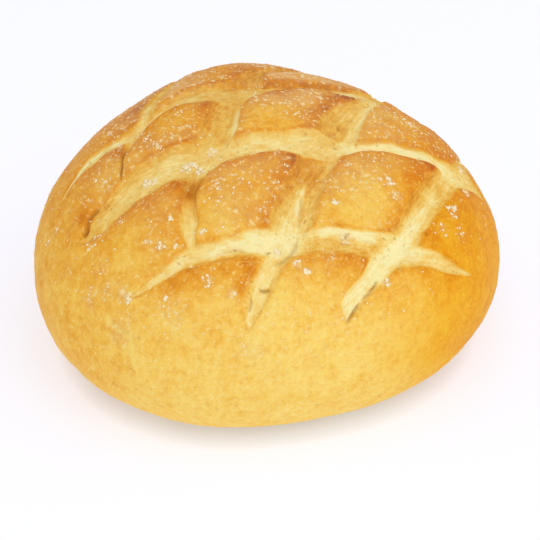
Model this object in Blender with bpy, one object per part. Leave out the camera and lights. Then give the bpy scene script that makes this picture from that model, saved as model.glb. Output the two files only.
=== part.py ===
"""Boule: a round hearth loaf scored with crossed cuts, as one closed solid that stands on its flat foot.

The loaf is made as a baker's cloth would be laid over it. A flat grid, whose lines follow the cuts, is
widened by a skirt, closed under the foot, and then every point is draped over a domed form and sunk into
the cuts. On the flat sheet a point is (across, away) in metres from the crown, measured along the skin:
across runs to +X and away runs to +Y.
"""

from dataclasses import dataclass

import bmesh
import bpy
import numpy as np
from mathutils import Vector, noise

NAME = "boule"

# Form of the whole loaf
WIDEST_RADIUS = 0.0911
CROWN_HEIGHT = 0.0670
CROWN_POWER = 1.87
WAIST_HEIGHT = 0.0394
BELLY_DEPTH = 0.0558
BELLY_POWER = 2.37
FOOT_KNEE = 0.0115
PROFILE_STEPS = 1441

# Uneven outline seen from above: (waves round the loaf, cosine share, sine share)
OUTLINE_WAVES = ((2, 0.0338, 0.0148), (3, 0.0221, -0.0188), (4, 0.0091, 0.0027), (5, -0.0038, 0.0004))
CROWN_LEAN = (-0.0063, 0.0112)
LEAN_POWER = 3.5

# Swells of the crust, slow ones and short ones: (height, length)
SWELLS = ((0.0009, 0.045), (0.0006, 0.016))
SWELL_CLEAR_OF_FOOT = 0.020

# Flat sheet before it is draped
SHEET_ACROSS = (-0.110, 0.118)
SHEET_AWAY = (-0.115, 0.105)
SKIRT_RINGS = 8
LINES_BETWEEN_CUTS = 7
LINES_LEFT = 9
LINES_RIGHT = 7
LINES_FRONT = 7
LINES_BACK = 5
CROSSING_PASSES = 16
NORMAL_STEP = 0.0005

# Shape that all cuts share
MM = 0.001
STATION_STEP = 0.006
NARROWEST_HALF = 0.0009
FULLY_OPEN_HALF = 0.0026
EDGE_WANDER = 0.0004
EDGE_WANDER_LENGTH = 0.008
CROSSING_BLEND = 6.0
SHOULDER_RISE = 0.0016
SHOULDER_LENGTH = 0.007
SHOULDER_FULL_DEPTH = 0.0024
FIELD_FADE = (0.075, 0.118)

# Lines along a cut's floor, as places between its edges from -1 to 1
ACROSS_FLOOR = (-0.60, 0.10, 0.75)
AWAY_FLOOR = (-0.40, 0.30, 0.80)

CRUST_COLOUR = (0.78, 0.44, 0.10, 1.0)
CRUST_ROUGHNESS = 0.62


def through(values, place):
    """Smooth curve through values one step apart, which runs straight on beyond both ends."""
    values = np.array(values, float)
    slopes = np.gradient(values)
    inside = np.clip(place, 0.0, len(values) - 1.0)
    left = np.minimum(inside.astype(int), len(values) - 2)
    part = inside - left
    start, end = values[left], values[left + 1]
    bend = (start - end) * 2.0 + slopes[left] + slopes[left + 1]
    curve = start + part * (slopes[left] + part * ((end - start) - slopes[left] - bend * (1.0 - part)))
    ends = np.where(place < 0.0, slopes[0], slopes[-1])
    return curve + ends * (place - inside)


@dataclass(frozen=True)
class Cut:
    """One run of the knife on the sheet, in millimetres.

    The near or left edge and the far or right edge are given at even steps from the start. Depths are given
    at distances along the sheet, and the floor by its share of the depth at each of its lines.
    """

    start: float
    near: tuple
    far: tuple
    depths: tuple
    floor: tuple

    def edges(self, along):
        """Both edges without their wander, at a distance along the sheet."""
        place = (along - self.start * MM) / STATION_STEP
        return through(self.near, place) * MM, through(self.far, place) * MM

    def half_width(self, along):
        """Half of the open width, which is nothing beyond the tips."""
        near, far = self.edges(along)
        end = self.start * MM + STATION_STEP * (len(self.near) - 1)
        between_tips = (along > self.start * MM) & (along < end)
        return np.where(between_tips, np.clip((far - near) / 2.0, 0.0, None), 0.0)

    def openness(self, along):
        """How far the cut has opened: 0 beyond its tips and 1 where it is wide."""
        return np.clip(self.half_width(along) / FULLY_OPEN_HALF, 0.0, 1.0)

    def depth(self, along):
        """Depth of the floor below the crust."""
        places, depths = zip(*self.depths)
        return np.interp(along / MM, places, depths) * MM * self.openness(along)


# Cuts that run across, from the front one back
ACROSS_CUTS = (
    Cut(
        start=-56,
        near=(-80.6, -80.4, -79.4, -77.9, -76.9, -76.8, -76.5, -76.5, -76.4, -76.7, -77.2, -76.8, -76.3,
              -74.7, -73.5, -72.1, -70.6, -70.1, -69.8, -69.5, -66.1, -62.7, -60.0, -57.7, -55.0, -51.4,
              -47.0),
        far=(-78.9, -77.1, -74.7, -72.4, -69.9, -68.0, -68.7, -68.5, -67.1, -65.9, -66.5, -66.4, -65.9,
             -65.3, -62.9, -61.6, -60.3, -58.8, -56.6, -54.7, -54.0, -53.1, -51.5, -50.1, -49.5, -48.5,
             -47.0),
        depths=((-56, 0.8), (-40, 1.8), (-10, 2.6), (30, 3.0), (60, 2.8), (85, 1.8), (100, 0.8)),
        floor=(0.95, 0.85, 0.45),
    ),
    Cut(
        start=-77,
        near=(-47.2, -50.3, -50.0, -47.8, -46.2, -44.4, -42.9, -41.4, -41.6, -42.4, -41.6, -38.6, -37.4,
              -36.2, -35.2, -34.0, -33.9, -32.3, -30.6, -26.7, -21.2, -17.5, -15.0, -12.9, -10.7, -10.5,
              -13.1, -9.9, -4.5, 0.9, 6.4, 11.5),
        far=(-47.2, -41.4, -37.2, -34.7, -31.5, -28.5, -26.7, -25.8, -25.5, -25.6, -25.9, -26.3, -26.6,
             -25.7, -24.8, -22.9, -20.3, -17.8, -17.4, -17.4, -15.5, -11.1, -7.1, -5.1, -3.3, -2.3, -0.7,
             4.1, 7.9, 10.5, 12.0, 11.5),
        depths=((-77, 1.6), (-60, 2.4), (-20, 3.2), (20, 3.2), (60, 2.2), (80, 1.2), (109, 0.8)),
        floor=(0.95, 0.95, 0.60),
    ),
    Cut(
        start=-88,
        near=(-22.6, -17.6, -15.3, -14.6, -13.2, -12.0, -12.8, -11.6, -8.5, -4.2, -2.7, -3.0, -4.1, -5.3,
              -6.1, -3.7, 2.2, 5.5, 9.3, 12.1, 13.8, 13.2, 15.8, 20.5, 23.6, 25.3, 26.2, 27.3, 28.6, 31.0),
        far=(-22.6, -13.9, -9.8, -7.3, -4.5, -4.7, -4.2, -2.6, 1.5, 8.1, 14.0, 14.1, 13.8, 13.2, 13.4, 14.3,
             15.0, 16.8, 20.0, 23.7, 27.6, 30.4, 32.2, 33.9, 35.0, 35.5, 35.5, 34.8, 33.6, 31.0),
        depths=((-88, 0.6), (-60, 1.2), (-40, 2.2), (-10, 3.2), (25, 3.4), (38, 1.8), (60, 1.8), (86, 0.8)),
        floor=(0.70, 1.00, 0.95),
    ),
    Cut(
        start=-46,
        near=(61.2, 61.3, 61.6, 62.0, 62.6, 63.2, 63.8, 64.4, 65.0, 65.5, 65.8, 66.0, 66.2, 66.3, 66.5,
              66.7, 67.0, 67.4, 68.2),
        far=(61.2, 64.2, 66.9, 69.2, 71.1, 72.5, 73.7, 74.7, 75.4, 75.8, 76.2, 76.3, 76.3, 75.9, 75.3, 74.3,
             73.0, 71.2, 68.2),
        depths=((-46, 0.8), (0, 2.8), (62, 0.8)),
        floor=(0.90, 1.00, 0.80),
    ),
)

# Cuts that run away from the front, from the left one rightwards
AWAY_CUTS = (
    Cut(
        start=-34,
        near=(-51.7, -52.6, -52.8, -52.2, -49.9, -46.9, -46.7, -47.4, -47.3, -44.4, -42.5, -41.1, -39.9,
              -38.9, -38.0, -36.8, -34.5),
        far=(-51.7, -51.8, -50.7, -46.6, -41.4, -39.3, -39.0, -37.8, -36.4, -35.0, -34.1, -33.3, -32.7,
             -32.3, -32.1, -32.8, -34.5),
        depths=((-34, 1.0), (-16, 2.0), (10, 1.7), (25, 1.2), (62, 0.8)),
        floor=(0.90, 1.00, 0.60),
    ),
    Cut(
        start=-72,
        near=(-27.2, -29.1, -30.8, -30.1, -27.9, -27.7, -26.0, -24.0, -21.5, -18.7, -16.9, -14.6, -12.1,
              -9.6, -7.0, -4.9, -2.1, 2.4, 10.0, 15.2, 18.9, 21.6, 24.0, 26.1, 28.0, 30.0),
        far=(-27.2, -26.4, -23.9, -23.4, -22.5, -18.2, -13.2, -8.1, -4.8, -3.7, -2.4, -0.2, 4.4, 5.8, 6.0,
             6.0, 7.5, 13.8, 18.5, 21.9, 24.6, 27.0, 29.1, 30.9, 31.3, 30.0),
        depths=((-72, 1.2), (-60, 2.0), (-45, 2.6), (-20, 2.8), (0, 2.6), (15, 2.0), (25, 1.5), (78, 0.9)),
        floor=(0.65, 1.00, 0.85),
    ),
    Cut(
        start=-104,
        near=(-6.4, -8.2, -7.0, -5.1, -0.3, 2.4, 4.0, 4.8, 7.9, 11.3, 14.7, 18.2, 19.3, 21.8, 24.4, 26.1,
              27.2, 30.4, 35.3, 39.7, 42.5, 44.5, 46.0, 47.0, 47.8, 48.6, 49.0, 49.4, 49.6, 49.8, 50.2,
              51.5),
        far=(-6.4, -1.0, 3.5, 7.2, 11.3, 16.6, 21.2, 24.0, 25.9, 27.9, 30.2, 32.1, 34.0, 36.4, 39.1, 40.9,
             41.8, 43.2, 45.0, 47.2, 49.5, 51.6, 53.8, 54.9, 55.5, 56.0, 56.0, 56.0, 55.6, 55.0, 54.0,
             51.5),
        depths=((-104, 0.6), (-90, 2.0), (-70, 3.2), (-50, 4.0), (-20, 3.4), (-5, 2.6), (5, 1.5), (14, 0.9),
                (30, 1.2), (60, 1.4), (82, 0.6)),
        floor=(0.65, 1.00, 0.90),
    ),
    Cut(
        start=-98,
        near=(40.4, 36.7, 38.5, 43.3, 46.4, 48.5, 51.8, 55.1, 57.7, 59.2, 60.7, 62.2, 64.3, 66.8, 69.6,
              72.9, 77.2, 80.0, 82.8, 85.3, 86.2, 86.9, 87.5, 88.2, 89.0),
        far=(40.4, 45.4, 49.4, 53.5, 56.8, 60.6, 64.5, 68.5, 68.9, 70.7, 72.8, 74.9, 76.9, 79.1, 81.3, 83.4,
             85.6, 87.8, 90.0, 91.9, 93.1, 93.3, 92.9, 91.0, 89.0),
        depths=((-98, 0.6), (-85, 1.8), (-65, 3.0), (-40, 3.2), (-20, 2.4), (-8, 1.3), (3, 0.8), (46, 0.8)),
        floor=(0.75, 1.00, 0.60),
    ),
)


def meridian():
    """Mean profile from crown to foot, as arc length, radius and height above the waist."""
    turn = np.linspace(0.0, np.pi, PROFILE_STEPS)
    sine, cosine = np.sin(turn), np.cos(turn)
    upper = cosine >= 0.0
    power = np.where(upper, CROWN_POWER, BELLY_POWER)
    rise = np.where(upper, CROWN_HEIGHT, BELLY_DEPTH)
    reach = (np.abs(sine) ** power + np.abs(cosine) ** power) ** (-1.0 / power)
    radius = WIDEST_RADIUS * sine * reach
    drop = -rise * cosine * reach
    knee = np.clip(FOOT_KNEE - np.abs(drop - WAIST_HEIGHT), 0.0, None) / FOOT_KNEE
    drop = np.minimum(drop, WAIST_HEIGHT) - knee**2 * FOOT_KNEE / 4.0
    arc = np.concatenate(([0.0], np.cumsum(np.hypot(np.diff(radius), np.diff(drop)))))
    return arc, radius, -drop


ARC, RADIUS, HEIGHT = meridian()
FOOT_ARC = ARC[np.argmax(HEIGHT <= -WAIST_HEIGHT + 1e-9)]


def draped(across, away):
    """Points on the plain domed form that lie under points of the sheet."""
    turn = np.arctan2(away, across)
    arc = np.hypot(across, away)
    radius = np.interp(arc, ARC, RADIUS)
    height = np.interp(arc, ARC, HEIGHT)
    outline = 1.0 + sum(
        cosine * np.cos(waves * turn) + sine * np.sin(waves * turn) for waves, cosine, sine in OUTLINE_WAVES
    )
    lean = np.clip(height / CROWN_HEIGHT, 0.0, 1.0) ** LEAN_POWER
    x = radius * outline * np.cos(turn) + CROWN_LEAN[0] * lean
    y = radius * outline * np.sin(turn) + CROWN_LEAN[1] * lean
    return np.stack((x, y, height + WAIST_HEIGHT), axis=-1)


def outward(across, away):
    """Unit normals of the domed form under points of the sheet."""
    step_across = draped(across + NORMAL_STEP, away) - draped(across - NORMAL_STEP, away)
    step_away = draped(across, away + NORMAL_STEP) - draped(across, away - NORMAL_STEP)
    normal = np.cross(step_across, step_away)
    return normal / np.linalg.norm(normal, axis=-1, keepdims=True)


def wander(points, length):
    """Smooth uneven values between -1 and 1, with bumps of the given length."""
    return np.array([noise.noise(Vector(point) / length) for point in points])


def edge_wander(cut, along, side):
    """How far one edge of a cut strays from its even line."""
    seed = cut.start * 0.1 + side
    points = [(value, seed, side) for value in along.ravel()]
    stray = wander(points, EDGE_WANDER_LENGTH).reshape(along.shape)
    return EDGE_WANDER * stray * cut.openness(along)


def edge(cut, along, side):
    """Place of a cut's edge: side is -1 for the near or left edge and 1 for the far or right one."""
    near, far = cut.edges(along)
    half = np.maximum(cut.half_width(along), NARROWEST_HALF)
    return (near + far) / 2.0 + side * half + edge_wander(cut, along, side)


def line_shares(cuts, floor, lines_before, lines_after):
    """Place of each grid line: the number of the gap it lies in, and its share of the way over that gap.

    Gaps with an odd number are open cuts, and the others are the crust between them.
    """
    floor_shares = [(place + 1.0) / 2.0 for place in floor]
    last_gap = 2 * len(cuts)
    shares = []
    for gap in range(last_gap + 1):
        count = {0: lines_before, last_gap: lines_after}.get(gap, LINES_BETWEEN_CUTS)
        crust_shares = [step / (count + 1) for step in range(1, count + 1)]
        inner = floor_shares if gap % 2 else crust_shares
        shares.extend((gap, share) for share in [0.0, *inner])
    return shares + [(last_gap, 1.0)]


def placed_lines(cuts, shares, limits, along):
    """Places of the grid lines of one direction, where row n of along holds distances along line n."""
    low, high = (np.full_like(along, limit) for limit in limits)
    edges = [edge(cut, along, side) for cut in cuts for side in (-1.0, 1.0)]
    stations = np.stack([low, *edges, high])
    gaps = np.array([gap for gap, _ in shares])
    part = np.array([share for _, share in shares])[:, None]
    lines = np.arange(len(shares))
    return (1.0 - part) * stations[gaps, lines] + part * stations[gaps + 1, lines]


def crossings():
    """Sheet points where the lines along the two families of cuts cross."""
    rows = line_shares(ACROSS_CUTS, ACROSS_FLOOR, LINES_FRONT, LINES_BACK)
    columns = line_shares(AWAY_CUTS, AWAY_FLOOR, LINES_LEFT, LINES_RIGHT)
    across = np.zeros((len(columns), len(rows)))
    away = np.zeros_like(across)
    for _ in range(CROSSING_PASSES):
        away = placed_lines(ACROSS_CUTS, rows, SHEET_AWAY, across.T).T
        across = placed_lines(AWAY_CUTS, columns, SHEET_ACROSS, away)
    return across, away


def trough(place, lines, floor):
    """Share of a cut's depth between its edges, straight from edge to floor and along the floor."""
    return np.interp(place, (-1.0, *lines, 1.0), (0.0, *floor, 0.0))


def field_fade(across, away):
    """How far the crust between the cuts has swollen: 1 among the cuts and 0 down the sides."""
    inner, outer = FIELD_FADE
    return np.clip((outer - np.hypot(across, away)) / (outer - inner), 0.0, 1.0)


def relief(across, away):
    """Height of the scored crust over the plain form: below it in a cut and above it beside one."""
    sunk = np.zeros_like(across)
    clear = np.ones_like(across)
    families = ((ACROSS_CUTS, ACROSS_FLOOR, across, away), (AWAY_CUTS, AWAY_FLOOR, away, across))
    for cuts, lines, along, off in families:
        for cut in cuts:
            near, far = edge(cut, along, -1.0), edge(cut, along, 1.0)
            place = 2.0 * (off - near) / (far - near) - 1.0
            drop = cut.depth(along) * trough(place, lines, cut.floor)
            sunk = (sunk**CROSSING_BLEND + drop**CROSSING_BLEND) ** (1.0 / CROSSING_BLEND)
            outside = np.clip(np.maximum(near - off, off - far), 0.0, None)
            torn = np.clip(cut.depth(along) / SHOULDER_FULL_DEPTH, 0.0, 1.0)
            beside = np.exp(-outside / SHOULDER_LENGTH) * torn
            clear = np.minimum(clear, 1.0 - beside)
    return SHOULDER_RISE * (clear - 1.0 + field_fade(across, away)) - sunk


def crust_points(across, away):
    """Final points of the crust under points of the sheet."""
    points = draped(across, away)
    clear_of_foot = np.clip(points[:, 2] / SWELL_CLEAR_OF_FOOT, 0.0, 1.0)
    swell = sum(height * wander(points, length) for height, length in SWELLS)
    height = (relief(across, away) + swell) * clear_of_foot
    return points + outward(across, away) * height[:, None]


def lay_sheet(mesh):
    """Start with a flat grid and move its points to the crossings of the lines along the cuts."""
    across, away = crossings()
    columns, rows = across.shape
    bmesh.ops.create_grid(mesh, x_segments=columns - 1, y_segments=rows - 1, size=1.0)
    for vertex in mesh.verts:
        column = round((vertex.co.x + 1.0) / 2.0 * (columns - 1))
        row = round((vertex.co.y + 1.0) / 2.0 * (rows - 1))
        vertex.co = (across[column, row], away[column, row], 0.0)


def add_skirt(mesh):
    """Extrude the sheet's border ring by ring out to the edge of the foot, then close the foot."""
    border = [item for item in mesh.edges if item.is_boundary]
    for rings_left in range(SKIRT_RINGS, 0, -1):
        grown = bmesh.ops.extrude_edge_only(mesh, edges=border)["geom"]
        border = [item for item in grown if isinstance(item, bmesh.types.BMEdge) and item.is_boundary]
        for vertex in {vertex for item in border for vertex in item.verts}:
            reach = vertex.co.length
            vertex.co *= (reach + (FOOT_ARC - reach) / rings_left) / reach
    bmesh.ops.contextual_create(mesh, geom=border)


def drape(mesh):
    """Lay every point of the sheet on the scored loaf."""
    sheet = np.array([vertex.co[:2] for vertex in mesh.verts])
    for vertex, point in zip(mesh.verts, crust_points(sheet[:, 0], sheet[:, 1])):
        vertex.co = point


def stand_on_origin(mesh):
    """Set the middle of the loaf's box over the origin and its foot on the ground."""
    points = np.array([vertex.co for vertex in mesh.verts])
    low, high = points.min(axis=0), points.max(axis=0)
    middle = Vector(((low[0] + high[0]) / 2.0, (low[1] + high[1]) / 2.0, low[2]))
    bmesh.ops.translate(mesh, verts=mesh.verts, vec=-middle)


def crust_material():
    """Golden baked crust."""
    material = bpy.data.materials.new("baked_crust")
    material.use_nodes = True
    shader = material.node_tree.nodes["Principled BSDF"]
    shader.inputs["Base Color"].default_value = CRUST_COLOUR
    shader.inputs["Roughness"].default_value = CRUST_ROUGHNESS
    shader.inputs["Metallic"].default_value = 0.0
    return material


def make_loaf():
    """Build the loaf's mesh and put it in a collection of its own."""
    mesh = bmesh.new()
    lay_sheet(mesh)
    add_skirt(mesh)
    drape(mesh)
    stand_on_origin(mesh)
    bmesh.ops.recalc_face_normals(mesh, faces=mesh.faces)
    data = bpy.data.meshes.new(NAME)
    mesh.to_mesh(data)
    mesh.free()
    data.shade_smooth()
    data.materials.append(crust_material())
    loaf = bpy.data.objects.new(NAME, data)
    collection = bpy.data.collections.new(NAME)
    bpy.context.scene.collection.children.link(collection)
    collection.objects.link(loaf)
    return loaf


for item in list(bpy.context.scene.objects):
    bpy.data.objects.remove(item, do_unlink=True)
make_loaf()
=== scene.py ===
"""Dressed boule: a round hearth loaf with crossed cuts, baked golden and dusted with flour.

The loaf's skin is laid out flat as a baker's cloth would be, cut finer where the knife has opened it, and then
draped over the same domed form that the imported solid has. On the flat sheet a point is (across, away) in metres
from the crown, measured along the skin: across runs to +X and away runs to +Y.
"""

import logging
import math
from dataclasses import dataclass, field
from enum import Enum
from functools import cached_property, lru_cache, partial, reduce

import bmesh
import bpy
import numpy as np
from mathutils import Matrix, Vector, noise


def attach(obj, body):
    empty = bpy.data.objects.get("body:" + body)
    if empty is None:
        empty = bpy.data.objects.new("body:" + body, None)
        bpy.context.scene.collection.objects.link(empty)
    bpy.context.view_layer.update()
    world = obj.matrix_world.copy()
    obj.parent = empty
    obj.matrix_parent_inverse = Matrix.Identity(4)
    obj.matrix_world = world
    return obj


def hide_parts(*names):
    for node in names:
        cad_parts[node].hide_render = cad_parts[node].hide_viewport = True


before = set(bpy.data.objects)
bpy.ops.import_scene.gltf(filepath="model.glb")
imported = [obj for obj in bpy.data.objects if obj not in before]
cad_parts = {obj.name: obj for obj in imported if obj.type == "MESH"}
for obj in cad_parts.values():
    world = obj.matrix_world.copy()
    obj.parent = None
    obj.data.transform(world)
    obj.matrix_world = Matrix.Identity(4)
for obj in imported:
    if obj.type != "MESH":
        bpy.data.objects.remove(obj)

Array = np.ndarray
Piece, Material = bpy.types.Object, bpy.types.Material
Tree, Socket = bpy.types.NodeTree, bpy.types.NodeSocket
LOG = logging.getLogger("boule")
WHITENESS = "flour_whiteness"
NODE = "boule"
MM = 0.001


class Side(Enum):
    """The two edges of a cut: the near or left one, and the far or right one."""

    NEAR = -1.0
    FAR = 1.0


class Run(Enum):
    """The way a cut runs over the loaf."""

    ACROSS = "across"
    AWAY = "away"


class Mark(Enum):
    """What the skin's finish is told about each point."""

    # Baking, which on the left flank and behind also holds painted shade
    BAKE = "bake"
    AMBER = "amber"
    # Flour film, which on the top behind also stands in for a painted sheen
    FILM = "flour_film"
    CRUMB = "crumb"
    # The crumb's gold, which on the cut walls is partly painted shade
    GOLD = "crumb_gold"
    TURN = "crumb_turn"
    # Painted shade in cracks and pits
    HOLLOW = "hollow"
    BASE = "foot_base"


class Lay(Enum):
    """Places along and off the nearest cut, which the finish draws its streaks along."""

    ACROSS = "lay_across"
    AWAY = "lay_away"


def wander(points: Array, length: float) -> Array:
    """Smooth uneven values from -1 to 1 at places, one row each, with bumps of the given length."""
    return np.array([noise.noise(point) for point in (np.asarray(points) / length).tolist()])


def ramp(value: Array, low: float, high: float) -> Array:
    """Smooth step of a value from 0 at low to 1 at high, which may be the lower of the two."""
    share = np.clip((value - low) / (high - low), 0.0, 1.0)
    return share * share * (3.0 - 2.0 * share)


def fall(distance: Array, length: float) -> Array:
    """Share left at a distance that is not below 0, which falls to a third over the length."""
    return np.exp(-np.clip(distance, 0.0, None) / length)


def bell(gap: Array, width: float) -> Array:
    """Soft mark, 1 at no distance and faint beyond a width in millimetres."""
    return np.exp(-((gap / (width * MM)) ** 2))


def spot_distance(across: Array, away: Array, spot: "Spot | FlourPatch") -> Array:
    """Distances from points of the sheet to a place on it."""
    return np.hypot(across - spot.across * MM, away - spot.away * MM)


def path_distance(across: Array, away: Array, path: tuple) -> tuple[Array, Array]:
    """Nearest distance from points of the sheet to a line of straight pieces.

    Args:
        across: the points' places across.
        away: the points' places away.
        path: the corners of the line, in millimetres.

    Returns:
        The distances, and the share of the way along the line of the nearest place.
    """
    corners = np.array(path) * MM
    lengths = np.hypot(*np.diff(corners, axis=0).T)
    run = np.concatenate(([0.0], np.cumsum(lengths)))
    best = np.full(len(across), 1.0)
    share = np.zeros(len(across))
    for start, end, length, begun in zip(corners, corners[1:], lengths, run):
        step = (end - start) / length
        part = np.clip((across - start[0]) * step[0] + (away - start[1]) * step[1], 0.0, length)
        gap = np.hypot(across - start[0] - part * step[0], away - start[1] - part * step[1])
        nearer = gap < best
        best = np.where(nearer, gap, best)
        share = np.where(nearer, (begun + part) / run[-1], share)
    return best, share


@dataclass(frozen=True)
class LoafForm:
    """Domed form of the whole loaf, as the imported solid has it."""

    widest_radius: float = 0.0911
    crown_height: float = 0.0670
    crown_power: float = 1.87
    waist_height: float = 0.0394
    belly_depth: float = 0.0558
    belly_power: float = 2.37
    foot_knee: float = 0.0115
    outline_waves: tuple = ((2, 0.0338, 0.0148), (3, 0.0221, -0.0188), (4, 0.0091, 0.0027), (5, -0.0038, 0.0004))
    crown_lean: tuple = (-0.0063, 0.0112)
    lean_power: float = 3.5
    swells: tuple = ((0.0009, 0.045), (0.0006, 0.016))
    swell_clear_of_foot: float = 0.020
    normal_step: float = 0.0005

    @cached_property
    def meridian(self) -> tuple[Array, Array, Array]:
        """Mean profile from crown to foot.

        Returns:
            Arc lengths, radii and heights above the waist.
        """
        turn = np.linspace(0.0, np.pi, 1441)
        sine, cosine = np.sin(turn), np.cos(turn)
        upper = cosine >= 0.0
        power = np.where(upper, self.crown_power, self.belly_power)
        rise = np.where(upper, self.crown_height, self.belly_depth)
        reach = (np.abs(sine) ** power + np.abs(cosine) ** power) ** (-1.0 / power)
        radius = self.widest_radius * sine * reach
        drop = -rise * cosine * reach
        knee = np.clip(self.foot_knee - np.abs(drop - self.waist_height), 0.0, None) / self.foot_knee
        drop = np.minimum(drop, self.waist_height) - knee**2 * self.foot_knee / 4.0
        arc = np.concatenate(([0.0], np.cumsum(np.hypot(np.diff(radius), np.diff(drop)))))
        return arc, radius, -drop

    @cached_property
    def foot_arc(self) -> float:
        """Arc length from the crown to the edge of the flat foot."""
        arc, _, height = self.meridian
        return float(arc[np.argmax(height <= -self.waist_height + 1e-9)])

    def draped(self, across: Array, away: Array) -> Array:
        """Points of the plain form under points of the sheet.

        Args:
            across: places across.
            away: places away.

        Returns:
            One row of x, y and z for each point, with the foot at z = 0.
        """
        arc_table, *tables = self.meridian
        turn = np.arctan2(away, across)
        arc = np.hypot(across, away)
        radius, height = (np.interp(arc, arc_table, table) for table in tables)
        outline = np.ones_like(arc)
        for waves, cosine, sine in self.outline_waves:
            outline += cosine * np.cos(waves * turn) + sine * np.sin(waves * turn)
        lean = np.clip(height / self.crown_height, 0.0, 1.0) ** self.lean_power
        x = radius * outline * np.cos(turn) + self.crown_lean[0] * lean
        y = radius * outline * np.sin(turn) + self.crown_lean[1] * lean
        return np.stack((x, y, height + self.waist_height), axis=-1)

    def outward(self, across: Array, away: Array) -> Array:
        """Unit normals of the plain form.

        Args:
            across: places across.
            away: places away.

        Returns:
            One normal for each point.
        """
        step = self.normal_step
        rise_across = self.draped(across + step, away) - self.draped(across - step, away)
        rise_away = self.draped(across, away + step) - self.draped(across, away - step)
        normal = np.cross(rise_across, rise_away)
        return normal / np.linalg.norm(normal, axis=-1, keepdims=True)


@dataclass(frozen=True)
class CutForm:
    """Shape that all cuts share, in metres."""

    station_step: float = 0.006
    narrowest_half: float = 0.0009
    fully_open_half: float = 0.0026
    stray: float = 0.0004
    stray_length: float = 0.008
    tear: float = 0.00035
    tear_length: float = 0.0030
    lines_half: float = 0.0018
    across_floor: tuple = (-0.60, 0.10, 0.75)
    away_floor: tuple = (-0.40, 0.30, 0.80)


CUT_FORM = CutForm()


def through(values: tuple, place: Array) -> Array:
    """Smooth curve through values one step apart, which runs straight on beyond both ends.

    Args:
        values: the values to run through.
        place: where to read the curve, in steps from the first value.

    Returns:
        The curve at each place.
    """
    values = np.array(values, float)
    slopes = np.gradient(values)
    inside = np.clip(place, 0.0, len(values) - 1.0)
    left = np.minimum(inside.astype(int), len(values) - 2)
    part = inside - left
    start, end = values[left], values[left + 1]
    bend = (start - end) * 2.0 + slopes[left] + slopes[left + 1]
    curve = start + part * (slopes[left] + part * ((end - start) - slopes[left] - bend * (1.0 - part)))
    ends = np.where(place < 0.0, slopes[0], slopes[-1])
    return curve + ends * (place - inside)


@lru_cache(maxsize=None)
def stray_table(seed: float, side: float) -> tuple[Array, Array]:
    """How far a cut's edge strays from its even line, in long waves and in small tears.

    Args:
        seed: number of its own for each edge.
        side: which of the cut's two edges.

    Returns:
        Distances along the sheet, and how far the edge strays at each.
    """
    along = np.arange(-0.200, 0.2002, 0.0004)
    fixed = np.full_like(along, seed)
    sides = np.full_like(along, side)
    long_waves = wander(np.stack((along, fixed, sides), -1), CUT_FORM.stray_length)
    tears = wander(np.stack((along, fixed + 3.0, sides), -1), CUT_FORM.tear_length)
    return along, CUT_FORM.stray * long_waves + CUT_FORM.tear * tears


@lru_cache(maxsize=None)
def floor_table(lines: tuple, floor: tuple) -> tuple[Array, Array]:
    """Share of a cut's depth from edge to edge, with the corners of its floor rounded off.

    Args:
        lines: places of the floor's lines, from -1 at one edge to 1 at the other.
        floor: share of the depth at each line.

    Returns:
        Places, and the share at each.
    """
    place = np.linspace(-1.5, 1.5, 601)
    straight = np.interp(place, (-1.0, *lines, 1.0), (0.0, *floor, 0.0))
    window = np.hanning(45)
    return place, np.convolve(straight, window / window.sum(), "same")


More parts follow.
